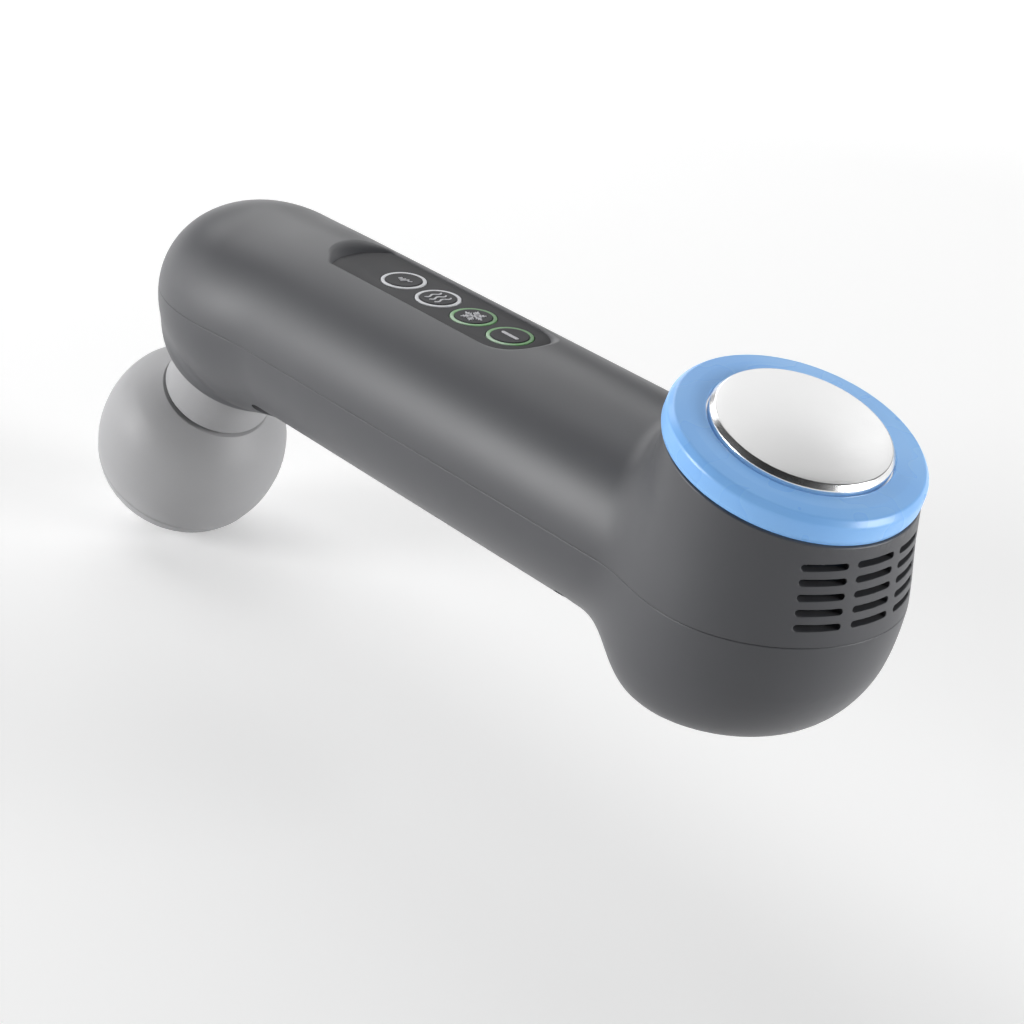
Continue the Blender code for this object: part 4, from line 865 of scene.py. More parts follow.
def lit_group():
    """Lit translucent plastic: soft patches between the lamps behind it."""
    tree, given = shader_group(
        "Lit plastic", [("Colour", "Color"), ("Deep colour", "Color"), ("Patch size", "Float")],
        [("Colour", "Color"), ("Roughness", "Float")])
    place = add(tree, "ShaderNodeTexCoord").outputs["Object"]
    scale = maths(tree, "DIVIDE", 1.0, given["Patch size"])
    patch = remap(tree, noise(tree, place, scale, 1.5, 0.4), 0.0, 1.0, 0.25, 0.75)
    # 6 and 7 are the colours that a colour Mix mixes
    colour = add(tree, "ShaderNodeMix", {0: patch, 6: given["Deep colour"], 7: given["Colour"]},
                 data_type="RGBA").outputs[2]
    rough = remap(tree, noise(tree, place, 120.0, 1.0), 0.26, 0.3)
    add(tree, "NodeGroupOutput", {"Colour": colour, "Roughness": rough})
    return tree


GROUPS = {"Moulded plastic": moulded_group, "Spun metal": spun_group, "Lit plastic": lit_group}


def seen_rays(tree):
    """One for rays that show a background: from the camera, off gloss, or through glass."""
    path = add(tree, "ShaderNodeLightPath").outputs
    return maths(tree, "MAXIMUM", maths(tree, "MAXIMUM", path["Is Camera Ray"],
                                        path["Is Glossy Ray"]), path["Is Transmission Ray"])


def placed_group(tree, name, values):
    group = bpy.data.node_groups.get(name) or GROUPS[name]()
    return add(tree, "ShaderNodeGroup", values, node_tree=group).outputs


def new_material(name, **constants):
    """A material and its Principled shader, with the constants on the shader's own sockets."""
    mat = bpy.data.materials.new(name)
    mat.use_nodes = True
    shader = mat.node_tree.nodes["Principled BSDF"]
    for key, value in constants.items():
        shader.inputs[key.replace("_", " ")].default_value = value
    return mat, mat.node_tree, shader


def wire(tree, shader, finish, strength, distance):
    """Joins a group's colour, roughness and height to the shader."""
    tree.links.new(finish["Colour"], shader.inputs["Base Color"])
    tree.links.new(finish["Roughness"], shader.inputs["Roughness"])
    bump = add(tree, "ShaderNodeBump", {"Strength": strength, "Distance": distance,
                                        "Height": finish["Height"]})
    tree.links.new(bump.outputs[0], shader.inputs["Normal"])


def plastic(name, colour, roughness, clouding=0.03, patches=0.03, grain=0.16 * MM,
            strength=0.25, **constants):
    known = bpy.data.materials.get(name)
    if known:
        return known
    mat, tree, shader = new_material(name, **constants)
    finish = placed_group(tree, "Moulded plastic", {
        "Colour": (*colour, 1), "Clouding": clouding, "Roughness": roughness,
        "Gloss patches": patches, "Grain size": grain})
    wire(tree, shader, finish, strength, 0.02 * MM)
    mat.diffuse_color = (*colour, 1)
    return mat


def metal(name, colour, roughness, place=None, lines=9000.0, smears=0.03, strength=0.1):
    known = bpy.data.materials.get(name)
    if known:
        return known
    mat, tree, shader = new_material(name, Metallic=1.0)
    vector = add(tree, "ShaderNodeTexCoord").outputs["Object"]
    if place:
        back = place.inverted()
        vector = add(tree, "ShaderNodeMapping", {
            "Vector": vector, "Location": back.translation, "Rotation": back.to_euler()},
            vector_type="POINT").outputs[0]
    finish = placed_group(tree, "Spun metal", {
        "Vector": vector, "Colour": (*colour, 1), "Roughness": roughness, "Lines": lines,
        "Smears": smears})
    wire(tree, shader, finish, strength, 0.01 * MM)
    mat.diffuse_color = (*colour, 1)
    return mat


def lit(name, colour, deep, patch, emission, **constants):
    known = bpy.data.materials.get(name)
    if known:
        return known
    mat, tree, shader = new_material(name, **constants)
    finish = placed_group(tree, "Lit plastic", {
        "Colour": (*colour, 1), "Deep colour": (*deep, 1), "Patch size": patch})
    tree.links.new(finish["Colour"], shader.inputs["Base Color"])
    tree.links.new(finish["Colour"], shader.inputs["Emission Color"])
    tree.links.new(finish["Roughness"], shader.inputs["Roughness"])
    shader.inputs["Emission Strength"].default_value = emission
    mat.diffuse_color = (*colour, 1)
    return mat


def colours():
    return bpy.context.scene.massager_colours


def sizes():
    return bpy.context.scene.massager_sizes


def housing_material():
    return plastic("housing_plastic_fine", colours().housing, 0.40, clouding=0.02,
                   strength=0.3, Specular_IOR_Level=0.45)


def panel_material():
    return plastic("panel_plastic_fine", colours().panel, 0.5, grain=0.12 * MM, strength=0.2,
                   Specular_IOR_Level=0.2)


def stand_for(piece, body, slot, *nodes):
    """Rides the piece on its body and lets it stand for the solids it covers."""
    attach(piece, body)
    if nodes:
        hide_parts(*nodes)
    return piece


# Pieces

class MASSAGER_OT_housing(bpy.types.Operator):
    """Build the two halves of the moulded housing, with the panel's recess, vents and wells"""
    bl_idname = "massager.housing"
    bl_label = "Housing"

    def execute(self, context):
        seam = sizes().seam_gap / 2
        edge = sizes().seam_rounding
        self.upper(seam, edge)
        self.lower(seam, edge)
        return {"FINISHED"}

    def upper(self, seam, edge):
        point, down = AXIS + Vector((0, 0, seam)), Vector((0, 0, -1))
        rim, rim_up = RIM_FRAME.translation, RIM_FRAME.to_3x3() @ Vector((0, 0, 1))
        upper_edge = edge * 0.3
        shell = skin("housing_upper", 0.0, SKIN_AROUND)
        wall = new_object("wall", shell.data.copy())
        cut_flat(shell, point, down)
        cut_flat(shell, rim, rim_up)
        round_edge(shell, point, down, upper_edge)
        round_edge(shell, rim, rim_up, RIM_EDGE)
        cavity = skin("cavity", -WALL, CAVITY_AROUND, fine=False)
        half = PANEL_LENGTH / 2 + WALL
        bed = raised("bed", [(PANEL_X + side * half, edge_y) for side, edge_y in
                             ((-1, -HANDLE_R), (1, -HANDLE_R), (1, HANDLE_R), (-1, HANDLE_R))],
                     BED_BOTTOM, HANDLE_R * 2)
        boolean(cavity, "DIFFERENCE", bed)
        pocket = self.pocket()
        r = BUTTON_R + FIT_GAP
        holes = joined("holes", [plug("hole", [(r, BED_BOTTOM - WALL), (r, PANEL_LEVEL)],
                                      spot(x), 48) for x in BUTTON_X])
        r = SKIRT_R + FIT_GAP
        seat = plug("seat", [(r, -SKIRT_DEPTH * 2), (r, RING_HEIGHT)], PLATE_FRAME)
        boolean(shell, "DIFFERENCE", cavity, pocket, holes, seat, self.slots(wall))
        bpy.data.objects.remove(wall, do_unlink=True)
        shell.data.materials.clear()
        shell.data.materials.append(housing_material())
        skin_normals(shell, [(point, down, upper_edge), (rim, rim_up, RIM_EDGE)])
        stand_for(shell, "housing", "housing_plastic", "upper_shell")

    def pocket(self):
        """The panel's recess as a cutter, hollowed at the head's end and soft at the oval end."""
        outline = panel_outline()
        x, y = outline.T
        wall_height = np.sqrt(HANDLE_R ** 2 - y ** 2) - PANEL_LEVEL
        rounding = np.full(len(x), PANEL_SIDE_EDGE)
        for end, run, r in ((x - x.min(), PANEL_END_BULGE * 1.1, sizes().scoop),
                            (x.max() - x, PANEL_OVAL, PANEL_OVAL_EDGE)):
            blend = np.clip(1 - end / run, 0, 1)
            rounding += (r - PANEL_SIDE_EDGE) * blend * blend * (3 - 2 * blend)
        # the rounded edge runs down into the inlay's rim, so that no gap shows
        meets = np.arcsin(np.clip(1 - wall_height / rounding, 0, 1))
        inward = rounding * (1 - np.cos(meets)) + PANEL_LAP
        outline = outline - outline_normals(outline) * inward[:, None]
        return flared_cutter("pocket", outline, BODY, BED_TOP, HANDLE_R * 1.5, rounding)

    def slots(self, wall):
        """All the vent slots as one cutter, spread over the bulb's end wall by the tree."""
        s = sizes()
        middle_row = s.slot_top_row - (s.slot_rows - 1) / 2 * s.slot_pitch
        place = (Matrix.Translation((BULB_X, 0, AXIS_Z + middle_row))
                 @ Matrix.Rotation(math.pi / 2, 4, "Y") @ Matrix.Rotation(math.pi / 2, 4, "Z"))
        shape = flared_cutter("slot", stadium(s.slot_length, s.slot_height), place,
                              RING_R - 2 * WALL, BULB_R + WALL, SLOT_EDGE)
        start = np.array([[BULB_X, 0, middle_row]])
        reach = reach_skin(start, np.array([[1.0, 0, 0]]))[0]
        shape.data.transform(Matrix.Translation((-BULB_X - reach, 0, -AXIS_Z - middle_row)))
        cutter = run_tree("slots", slots_tree(), {
            "Shape": shape, "Wall": wall, "Rows": s.slot_rows, "Columns": s.slot_columns,
            "Pitch": s.slot_pitch, "Column angle": s.slot_turn, "Start angle": s.slot_start,
            "Top row": (BULB_X, 0, AXIS_Z + s.slot_top_row), "Material": housing_material()})
        bpy.data.objects.remove(shape, do_unlink=True)
        return cutter

    def lower(self, seam, edge):
        point, up = AXIS - Vector((0, 0, seam)), Vector((0, 0, 1))
        shell = skin("housing_lower", 0.0, SKIN_AROUND)
        cut_flat(shell, point, up)
        round_edge(shell, point, up, edge)
        cavity = skin("cavity", -WALL, CAVITY_AROUND, fine=False)
        wells, columns = [], []
        for x, y in SCREW_PLACES:
            columns.append(plug("column", [(COLUMN_R, -HANDLE_R), (COLUMN_R, -FIT_GAP)],
                                spot(x, y), 40))
            wells.append(plug("well", [(WELL_R, -HANDLE_R), (WELL_R, -SCREW_SEAT),
                                       (WELL_BORE, -SCREW_SEAT), (WELL_BORE, WALL)],
                              spot(x, y), 40))
        boolean(cavity, "DIFFERENCE", joined("columns", columns))
        socket_x = BULB_X - SOCKET_FROM_BULB
        under = spot(socket_x) @ Matrix.Rotation(math.pi, 4, "X")
        socket = flared_cutter("socket", stadium(*SOCKET_SIZE), under, HANDLE_R - 2 * WALL,
                               HANDLE_R + WALL, SOCKET_EDGE)
        r = COLLAR_R[0] + FIT_GAP
        steps = [(r, BOSS_REACH - 2 * WALL)]
        steps += [(r + MOUTH_EDGE * (1 - math.cos(math.radians(a))),
                   BOSS_REACH - MOUTH_EDGE * (1 - math.sin(math.radians(a))))
                  for a in (0, 20, 40, 60, 75)]
        r += MOUTH_EDGE * 1.2
        steps += [(r, BOSS_REACH + MOUTH_EDGE * 0.2), (r, BOSS_REACH + WALL)]
        opening = plug("opening", steps, BALL_FRAME)
        boolean(shell, "DIFFERENCE", cavity, *wells, socket, opening)
        shell.data.materials.clear()
        shell.data.materials.append(housing_material())
        skin_normals(shell, [(point, up, edge)])
        stand_for(shell, "housing", "housing_plastic", "lower_shell")


class MASSAGER_OT_panel(bpy.types.Operator):
    """Build the inlaid control panel and the light rings round its buttons"""
    bl_idname = "massager.panel"
    bl_label = "Control panel"

    def execute(self, context):
        inlay = raised("panel_inlay", panel_outline(-INLAY_GAP, 40), PANEL_LEVEL - PANEL_THICKNESS,
                       PANEL_LEVEL, panel_material(), rounding=INLAY_EDGE)
        hole = LIGHT_RING_R + 0.06 * MM
        edge = 0.08 * MM
        steps = [(hole, BED_TOP), (hole, PANEL_LEVEL - edge),
                 (hole + edge * 1.5, PANEL_LEVEL + edge * 0.5), (hole + edge * 1.5, HANDLE_R)]
        holes = [plug("hole", steps, spot(x), 96) for x in BUTTON_X]
        boolean(inlay, "DIFFERENCE", joined("holes", holes))
        inlay.data.shade_smooth()
        inlay.data.set_sharp_from_angle(angle=math.radians(30))
        stand_for(inlay, "housing", "panel_plastic", "control_panel")
        c = colours()
        white = lit("halo_white_lit", c.halo_white, [v * 0.86 for v in c.halo_white], 6 * MM, 0.12)
        green = self.green_halo_painted_highlight(c)
        for name, x in zip(BUTTONS, BUTTON_X):
            out, top = LIGHT_RING_R - HALO_GAP, PANEL_LEVEL + LIGHT_RING_PROUD
            profile = [(HALO_BORE, BED_TOP + FIT_GAP, 0), (out, BED_TOP + FIT_GAP, 0),
                       (out, top, 0.1 * MM), (HALO_BORE, top, 0.1 * MM)]
            is_white = name in ("mode", "heat")
            halo = turned(name + "_halo", rounded(profile), white if is_white else green,
                          spot(x), 96, True, 50)
            stand_for(halo, "housing", "light_ring_white" if is_white else "light_ring_green",
                      name + "_light_ring")
        return {"FINISHED"}

    def green_halo_painted_highlight(self, c):
        """Green ring plastic with a painted highlight: paler towards -Y, the ring's near side."""
        mat, tree, shader = new_material("halo_green_lit", Roughness=0.3)
        place = add(tree, "ShaderNodeTexCoord").outputs["Object"]
        across = add(tree, "ShaderNodeSeparateXYZ", {0: place}).outputs["Y"]
        # painted highlight: the colour ramp runs from pale green at -Y to mid green at +Y
        side = remap(tree, across, 0.0, 1.0, -4.5 * MM, 3.0 * MM)
        wave = remap(tree, noise(tree, place, 400.0), -0.1, 0.1)
        ramp = add(tree, "ShaderNodeValToRGB", {"Fac": maths(tree, "ADD", side, wave)})
        stops = ramp.color_ramp.elements
        # the pale green of the painted highlight, at the near side
        stops[0].color = (0.42, 0.60, 0.42, 1)
        stops[1].color = (*[v * 0.75 for v in c.halo_green], 1)
        middle = stops.new(0.4)
        middle.color = (*[v * 1.15 for v in c.halo_green], 1)
        tree.links.new(ramp.outputs["Color"], shader.inputs["Base Color"])
        tree.links.new(ramp.outputs["Color"], shader.inputs["Emission Color"])
        shader.inputs["Emission Strength"].default_value = 0.12
        return mat


class MASSAGER_OT_buttons(bpy.types.Operator):
    """Build the four button caps and their icons, each on its own button"""
    bl_idname = "massager.buttons"
    bl_label = "Buttons"

    def execute(self, context):
        icon_mat = lit("icon_print", colours().icon, [v * 0.9 for v in colours().icon], 2 * MM,
                       0.05)
        top = PANEL_LEVEL + BUTTON_PROUD
        face = [(CAP_R * s, top - CAP_DISH * (1 - s ** 2), 0) for s in (0.75, 0.5, 0.25, 0)]
        flange, foot = BUTTON_R + BUTTON_FLANGE, FLANGE_TOP - BUTTON_FLANGE_THICKNESS
        neck = BED_TOP + 0.8 * MM
        profile = [(0, foot, 0), (flange, foot, 0), (flange, FLANGE_TOP, 0),
                   (BUTTON_R, FLANGE_TOP, 0), (BUTTON_R, neck, 0), (CAP_R, neck, 0),
                   (CAP_R, top - 0.02 * MM, CAP_EDGE)] + face
        for name, x in zip(BUTTONS, BUTTON_X):
            place = spot(x)
            cap = turned(name + "_cap", rounded(profile, closed=False), panel_material(), place,
                         96, sharp=50)
            stand_for(cap, name + "_button", "panel_plastic", "button_" + name)
            icon = getattr(self, name)(icon_mat)
            icon.name = icon.data.name = name + "_icon"
            icon.data.transform(place @ Matrix.Translation((0, 0, top - CAP_DISH)))
            icon.data.shade_smooth()
            icon.data.set_sharp_from_angle(angle=math.radians(30))
            stand_for(icon, name + "_button", "light_ring_white")
        return {"FINISHED"}

    def stroke(self, points, mat, width=None):
        """A flat line of one width through points, with round ends, just over the cap's face."""
        half = (width or sizes().icon_stroke) / 2
        line = np.array(points)
        along = np.gradient(line, axis=0)
        along /= np.linalg.norm(along, axis=1)[:, None]
        side = np.column_stack([-along[:, 1], along[:, 0]]) * half
        turn = [math.degrees(math.atan2(a[1], a[0])) for a in (along[0], along[-1])]
        end = arc(*line[-1], half, turn[1] - 90, turn[1] + 90, 6)[1:-1]
        start = arc(*line[0], half, turn[0] + 90, turn[0] + 270, 6)[1:-1]
        outline = ([tuple(p) for p in line - side] + end
                   + [tuple(p) for p in (line + side)[::-1]] + start)
        return raised("stroke", outline, ICON_LOW, ICON_HIGH, mat, place=None,
                      rounding=ICON_EDGE)

    def mode(self, mat):
        """A pulse of growing strokes."""
        strokes = []
        for x, height in ((-1.15, 0.5), (-0.4, 0.9), (0.35, 1.3)):
            strokes.append(self.stroke([((x - height * 0.25) * MM, -height * 0.6 * MM),
                                        ((x + height * 0.25) * MM, height * 0.6 * MM)], mat,
                                       0.3 * MM))
        strokes.append(self.stroke([(x * MM, (0.5 + 0.25 * math.sin(x * 4)) * MM)
                                    for x in np.linspace(1.0, 1.8, 9)], mat, 0.22 * MM))
        icon = joined("icon", strokes)
        icon.data.materials.append(mat)
        return icon

    def heat(self, mat):
        """Three rising waves side by side."""
        wave = [(0.32 * math.sin(t * 3 * math.pi) * MM, (t - 0.5) * 4.1 * MM)
                for t in np.linspace(0, 1, 25)]
        places = [((i - 1) * 1.6 * MM, 0, 0) for i in range(3)]
        return spread("icon", self.stroke(wave, mat), places, mat)

    def cool(self, mat):
        """A snow crystal: six arms, each with a pair of branches."""
        arm = self.stroke([(0.33 * MM, 0), (2.5 * MM, 0)], mat, 0.3 * MM)
        for side in (-1, 1):
            for out, length in ((1.0, 0.75), (1.65, 0.55)):
                branch = self.stroke([(out * MM, 0), ((out + length * 0.7) * MM,
                                                      side * length * 0.8 * MM)], mat, 0.22 * MM)
                boolean(arm, "UNION", branch)
        return spread("icon", arm, [(0, 0, 0)] * 6, mat, (0, 0, math.pi / 3))

    def power(self, mat):
        """One bar."""
        return self.stroke([(-2.1 * MM, 0), (2.1 * MM, 0)], mat, 0.75 * MM)


class MASSAGER_OT_plate_end(bpy.types.Operator):
    """Build the blue light ring and the metal contact plate"""
    bl_idname = "massager.plate_end"
    bl_label = "Plate end"

    def execute(self, context):
        h, r, foot = RING_TOP, RIM_R, FIT_GAP / 2 - RIM_DROP
        flange = PLATE_R + PLATE_FLANGE
        bore, well = PLATE_R + FIT_GAP, flange + FIT_GAP
        inside = SKIRT_R - SKIRT_THICKNESS
        profile = [(inside, -SKIRT_DEPTH, 0), (SKIRT_R, -SKIRT_DEPTH, 0),
                   (SKIRT_R, foot, 0), (r - 0.25 * MM, foot, 0.2 * MM),
                   (r + 0.1 * MM, foot + 1.0 * MM, 0.8 * MM), (r, h * 0.68, 1.4 * MM),
                   (r - 1.0 * MM, h * 0.92, 0.9 * MM), (r - 3.6 * MM, h * 0.98, 1.0 * MM),
                   (bore, h, 0.3 * MM), (bore, h - GUIDE_LIP, 0.1 * MM),
                   (well, h - GUIDE_LIP, 0), (well, FIT_GAP / 2, 0), (inside, FIT_GAP / 2, 0)]
        c = colours()
        blue = lit("glow_ring_lit", c.glow, c.glow_deep, 22 * MM, 0.3)
        ring = turned("glow_ring", rounded(profile, 7), blue, PLATE_FRAME, 160, True, 50)
        stand_for(ring, "housing", "light_guide_blue", "light_guide")
        crown, top = sizes().plate_crown, PLATE_HEIGHT
        flange_top = h - GUIDE_LIP - FIT_GAP
        low = flange_top - PLATE_FLANGE_THICKNESS
        face = [(PLATE_R * s, top - crown * s ** 2, 0) for s in (0.86, 0.75, 0.6, 0.45, 0.3, 0.15)]
        profile = [(0, low, 0), (flange, low, 0), (flange, flange_top, 0.1 * MM),
                   (PLATE_R, flange_top, 0),
                   (PLATE_R, top - 1.35 * MM, 0.5 * MM),
                   (PLATE_R - 0.8 * MM, top - crown, 0.4 * MM)] + face + [(0, top, 0)]
        steel = metal("contact_plate_spun", c.plate, 0.24, PLATE_FRAME)
        plate = turned("cold_plate", rounded(profile, 8, closed=False), steel, PLATE_FRAME, 160,
                       sharp=50)
        stand_for(plate, "housing", "plate_metal", "contact_plate")
        return {"FINISHED"}


class MASSAGER_OT_ball_head(bpy.types.Operator):
    """Build the collar, the neck's rubber bush and the hollow ball"""
    bl_idname = "massager.ball_head"
    bl_label = "Ball head"

    def execute(self, context):
        c = colours()
        r0, r1 = COLLAR_R
        inner = BOSS_REACH - WALL - FIT_GAP
        bore = BUSH_R + FIT_GAP
        flange, foot = r0 + COLLAR_FLANGE, inner - COLLAR_FLANGE_THICKNESS
        profile = [(bore, foot, 0), (flange, foot, 0), (flange, inner, 0), (r0, inner, 0),
                   (r0, BOSS_REACH + WALL, 2 * MM),
                   (r1, COLLAR_END, 0.5 * MM), (bore, COLLAR_END, 0)]
        collar_mat = plastic("collar_plastic", c.collar, 0.42, strength=0.15)
        collar = turned("ball_collar", rounded(profile), collar_mat, BALL_FRAME, closed=True)
        stand_for(collar, "housing", "ball_plastic", "collar")
        rubber = plastic("neck_rubber", (0.03, 0.03, 0.032), 0.7, clouding=0.1,
                         grain=0.3 * MM)
        low, high = COLLAR_END - BUSH_REACH, COLLAR_END + NECK_GAP + BUSH_REACH
        middle, groove = (low + high) / 2, BUSH_GROOVE
        profile = [(BUSH_R - BUSH_WALL, low, 0), (BUSH_R, low, 0.3 * MM),
                   (BUSH_R, middle - groove * 2, 0), (BUSH_R - groove, middle, groove),
                   (BUSH_R, middle + groove * 2, 0), (BUSH_R, high, 0.3 * MM),
                   (BUSH_R - BUSH_WALL, high, 0)]
        bush = turned("neck_bush", rounded(profile), rubber, BALL_FRAME, closed=True)
        stand_for(bush, "housing", "rubber", "damper_bush")
        self.ball(c)
        return {"FINISHED"}

    def ball(self, c):
        inner, mouth = BALL_R - BALL_WALL, BUSH_R + 2 * FIT_GAP
        lip = BALL_REACH - MOUTH_TO_CENTRE
        inner_start = math.degrees(math.asin(mouth / inner))

        def curve(angles, r):
            a = np.radians(angles)
            points = np.column_stack([r * np.sin(a), BALL_REACH - r * np.cos(a)])
            return [tuple(p) for p in points]

        fine = np.linspace(30, 180, 601)
        share = np.interp(fine, *zip(*BALL_OUTLINE))
        window = np.hanning(33)
        share = np.convolve(np.pad(share, 16, "edge"), window / window.sum(), "valid")
        angles = np.union1d(np.linspace(BALL_START, 180, 90),
                            np.linspace(-2, 2, 17) + BALL_CREASE)
        r = BALL_R * np.interp(angles, fine, share)
        r += CAP_PROUD * (np.clip((angles - BALL_CREASE) / 0.8, 0, 1)
                          - np.clip((angles - CAP_FADE[0]) / CAP_FADE[1], 0, 1))
        r -= CREASE_DEPTH * np.exp(-((angles - BALL_CREASE) / 0.55) ** 2)
        outside = curve(angles, r)
        edge = rounded([(mouth, lip, 0), (MOUTH_R + 0.1 * MM, lip, 0.45 * MM),
                        (*outside[0], 0)], closed=False)[:-1]
        outside = outside[:-1] + [(0, BALL_REACH + BALL_R)]
        inside = [(0, BALL_REACH + inner)] + curve(np.linspace(180, inner_start, 40)[1:], inner)
        ball_mat = plastic("ball_plastic_fine", c.ball, 0.5, clouding=0.02, strength=0.15)
        ball = turned("ball_skin", edge + outside + inside, ball_mat, BALL_FRAME, closed=True)
        stand_for(ball, "ball_head", "ball_plastic", "ball_shell")


class MASSAGER_OT_fasteners(bpy.types.Operator):
    """Build the case screws in their wells on the underside"""
    bl_idname = "massager.fasteners"
    bl_label = "Fasteners"

    def execute(self, context):
        seat = -SCREW_SEAT - FIT_GAP
        head, shank, tall = SCREW_HEAD_R, SCREW_R, SCREW_HEAD_HEIGHT
        profile = [(0, seat - tall, 0), (head * 0.8, seat - tall, 0.3 * MM),
                   (head, seat - tall * 0.6, 0.4 * MM), (head, seat, 0.1 * MM), (shank, seat, 0)]
        tip, z = seat + SCREW_LENGTH, seat + THREAD_PITCH
        while z < tip - 2 * THREAD_PITCH:
            profile += [(shank * 0.8, z, 0), (shank, z + THREAD_PITCH / 2, 0.1 * MM)]
            z += THREAD_PITCH
        profile += [(shank * 0.8, tip - shank, 0), (0, tip, 0)]
        screw = turned("screw", rounded(profile, 3, closed=False), place=Matrix.Identity(4),
                       around=48)
        long, short = head * 0.55, head * 0.14
        ends = ((1.15, seat - tall * 1.5), (0.75, seat - tall * 0.4))
        for a, b in ((long, short), (short, long)):
            corners = ((-a, -b), (a, -b), (a, b), (-a, b))
            cross = lofted("cross", [[(x * s, y * s, z) for x, y in corners] for s, z in ends])
            boolean(screw, "DIFFERENCE", cross)
        mat = metal("screw_steel_turned", (0.50, 0.50, 0.52), 0.34)
        places = [AXIS + Vector((x, y, 0)) for x, y in SCREW_PLACES]
        screws = spread("case_screws", screw, places, mat)
        screws.data.shade_smooth()
        screws.data.set_sharp_from_angle(angle=math.radians(35))
        stand_for(screws, "housing", "screw_steel", *["case_screw_%d" % i for i in (1, 2, 3, 4)])
        return {"FINISHED"}


class MASSAGER_OT_inner_parts(bpy.types.Operator):
    """Give the parts inside the housing their procedural finishes"""
    bl_idname = "massager.inner_parts"
    bl_label = "Inner parts"

    def execute(self, context):
        board = plastic("board_laminate", (0.015, 0.12, 0.055), 0.45, clouding=0.12,
                        grain=0.4 * MM)
        dark = plastic("inner_plastic_dark", (0.022, 0.022, 0.024), 0.55, clouding=0.06)
        cell = plastic("cell_sleeve", (0.05, 0.16, 0.38), 0.35, clouding=0.05, patches=0.06)
        pad = plastic("pad_silicone", (0.35, 0.40, 0.45), 0.85, clouding=0.08, grain=0.5 * MM)
        ceramic = plastic("module_ceramic", (0.75, 0.75, 0.72), 0.55, clouding=0.04)
        finned = metal("sink_aluminium", (0.30, 0.30, 0.31), 0.42, smears=0.06)
        can = metal("motor_can", (0.58, 0.58, 0.60), 0.32, smears=0.05)
        brass = metal("weight_brass_turned", (0.66, 0.46, 0.18), 0.36)
        steel = metal("socket_steel", (0.55, 0.55, 0.57), 0.3)
        finishes = {
            board: ("button_board", "main_board", "charge_board", "led_board"),
            dark: ("battery_cradle", "plate_carrier", "fan_frame", "fan_rotor", "motor_mount",
                   *[name + "_switch" for name in BUTTONS]),
            cell: ("battery_cell",), pad: ("thermal_pad",), ceramic: ("peltier_module",),
            finned: ("heat_sink",), can: ("vibration_motor",), brass: ("eccentric_weight",),
            steel: ("usb_socket",),
        }
        for mat, names in finishes.items():
            for name in names:
                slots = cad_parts[name].material_slots
                for slot in slots:
                    slot.material = mat
                if not slots:
                    raise RuntimeError(name + " has no material slot")
        return {"FINISHED"}


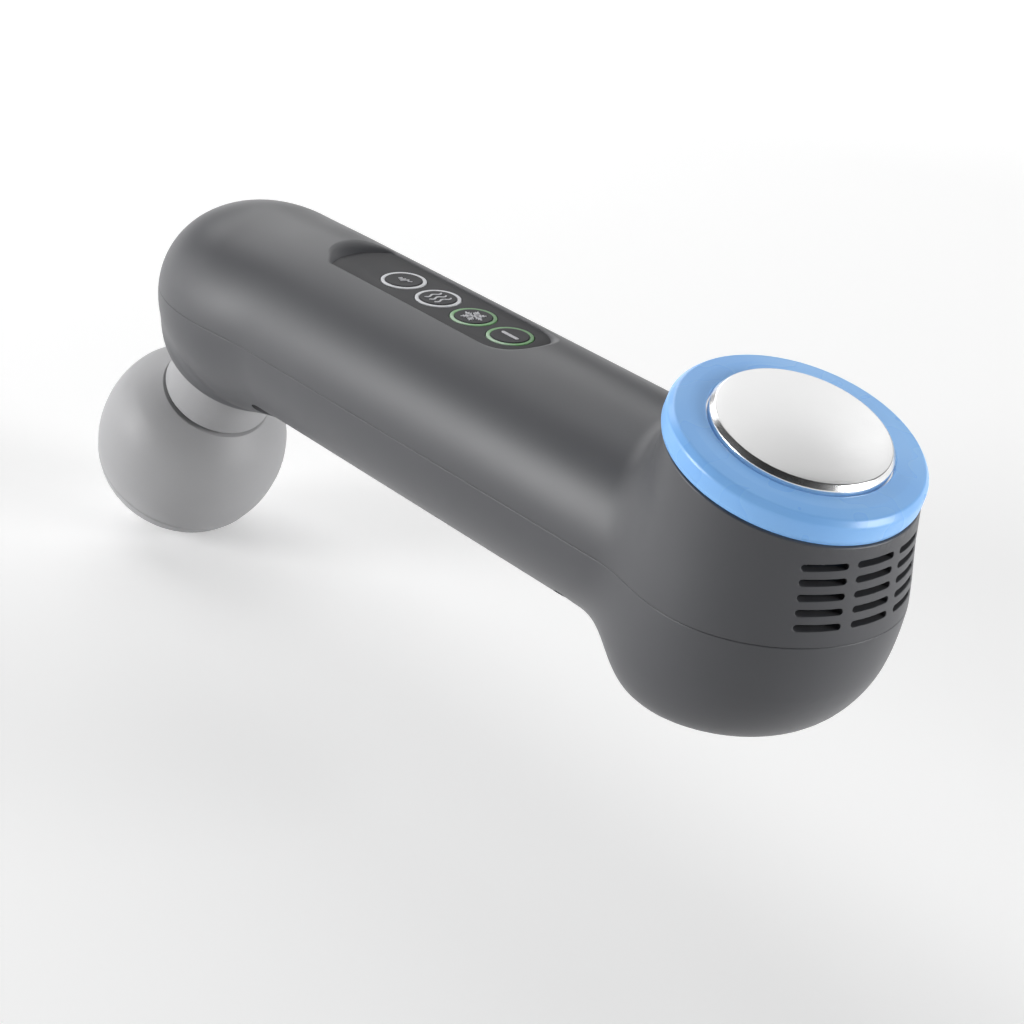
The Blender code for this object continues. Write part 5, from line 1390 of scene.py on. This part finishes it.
class MASSAGER_OT_studio(bpy.types.Operator):
    """Set up the camera, the soft lights and the pale floor"""
    bl_idname = "massager.studio"
    bl_label = "Studio"

    def execute(self, context):
        camera = bpy.data.cameras.new("camera")
        camera.lens, camera.sensor_width = CAMERA_LENS, CAMERA_SENSOR
        camera.clip_start, camera.clip_end = 0.01, 20
        view = bpy.data.objects.new("camera", camera)
        view.location = CAMERA_PLACE
        view.rotation_euler = Euler([math.radians(a) for a in CAMERA_TURN])
        context.scene.collection.objects.link(view)
        context.scene.camera = view
        self.floor()
        self.lights()
        self.world()
        context.scene.view_settings.view_transform = "Standard"
        return {"FINISHED"}

    def floor(self):
        half = FLOOR_HALF
        mesh = bpy.data.meshes.new("floor")
        mesh.from_pydata([(-half, -half, 0), (half, -half, 0), (half, half, 0), (-half, half, 0)],
                         [], [(0, 1, 2, 3)])
        mat, tree, shader = new_material("floor_paper", Roughness=0.95)
        shader.inputs["Specular IOR Level"].default_value = 0.0
        place = add(tree, "ShaderNodeTexCoord").outputs["Object"]
        tone = remap(tree, noise(tree, place, 900.0), 0.985, 1.0)
        colour = add(tree, "ShaderNodeVectorMath", {0: tuple(colours().floor), "Scale": tone},
                     operation="SCALE").outputs[0]
        tree.links.new(colour, shader.inputs["Base Color"])
        shader.inputs["Emission Color"].default_value = (1, 1, 1, 1)
        far = add(tree, "ShaderNodeVectorMath", {0: place}, operation="LENGTH").outputs["Value"]
        white = remap(tree, far, 0.30, 1.0, 0.45, 1.6)
        tree.links.new(maths(tree, "MULTIPLY", seen_rays(tree), white),
                       shader.inputs["Emission Strength"])
        new_object("floor", mesh, mat)

    def lights(self):
        """Soft round boxes: a low pair along the handle, and a dimmer group behind and above."""
        for turn, height, power in LAMPS:
            lamp = bpy.data.lights.new("lamp_%03d_%02d" % (turn, height), "AREA")
            lamp.shape, lamp.size, lamp.energy = "DISK", LAMP_SIZE, power
            box = bpy.data.objects.new(lamp.name, lamp)
            a, b = math.radians(turn), math.radians(height)
            away = Vector((math.cos(a) * math.cos(b), math.sin(a) * math.cos(b), math.sin(b)))
            box.location = LAMP_AIM + away * LAMP_DISTANCE
            box.rotation_euler = (-away).to_track_quat("-Z", "Y").to_euler()
            bpy.context.scene.collection.objects.link(box)

    def world(self):
        world = bpy.data.worlds.new("studio")
        bpy.context.scene.world = world
        world.use_nodes = True
        tree = world.node_tree
        back = tree.nodes["Background"]
        back.inputs["Color"].default_value = (1, 1, 1, 1)
        direction = add(tree, "ShaderNodeTexCoord").outputs["Generated"]
        height = add(tree, "ShaderNodeSeparateXYZ", {0: direction}).outputs["Z"]
        backdrop = remap(tree, height, 1.0, 0.0, 0.08, 0.18)
        white = maths(tree, "MULTIPLY", seen_rays(tree), backdrop)
        tree.links.new(maths(tree, "ADD", white, 0.02), back.inputs["Strength"])


OPERATORS = (MASSAGER_OT_housing, MASSAGER_OT_panel, MASSAGER_OT_buttons, MASSAGER_OT_plate_end,
             MASSAGER_OT_ball_head, MASSAGER_OT_fasteners, MASSAGER_OT_inner_parts,
             MASSAGER_OT_studio)


class MASSAGER_PT_parts(bpy.types.Panel):
    """The massager's pieces, sizes and colours"""
    bl_idname = "MASSAGER_PT_parts"
    bl_label = "Massager"
    bl_space_type = "VIEW_3D"
    bl_region_type = "UI"
    bl_category = "Massager"

    def draw(self, context):
        for operator in OPERATORS:
            self.layout.operator(operator.bl_idname)
        for group in (context.scene.massager_sizes, context.scene.massager_colours):
            box = self.layout.box()
            for name in group.bl_rna.properties.keys():
                if name not in ("rna_type", "name"):
                    box.prop(group, name)


CLASSES = (MassagerSizes, MassagerColours, *OPERATORS, MASSAGER_PT_parts)


def register():
    for item in CLASSES:
        bpy.utils.register_class(item)
    bpy.types.Scene.massager_sizes = bpy.props.PointerProperty(type=MassagerSizes)
    bpy.types.Scene.massager_colours = bpy.props.PointerProperty(type=MassagerColours)


def unregister():
    del bpy.types.Scene.massager_sizes
    del bpy.types.Scene.massager_colours
    for item in reversed(CLASSES):
        bpy.utils.unregister_class(item)


def main():
    register()
    for operator in OPERATORS:
        group, name = operator.bl_idname.split(".")
        getattr(getattr(bpy.ops, group), name)()


if __name__ == "__main__":
    main()
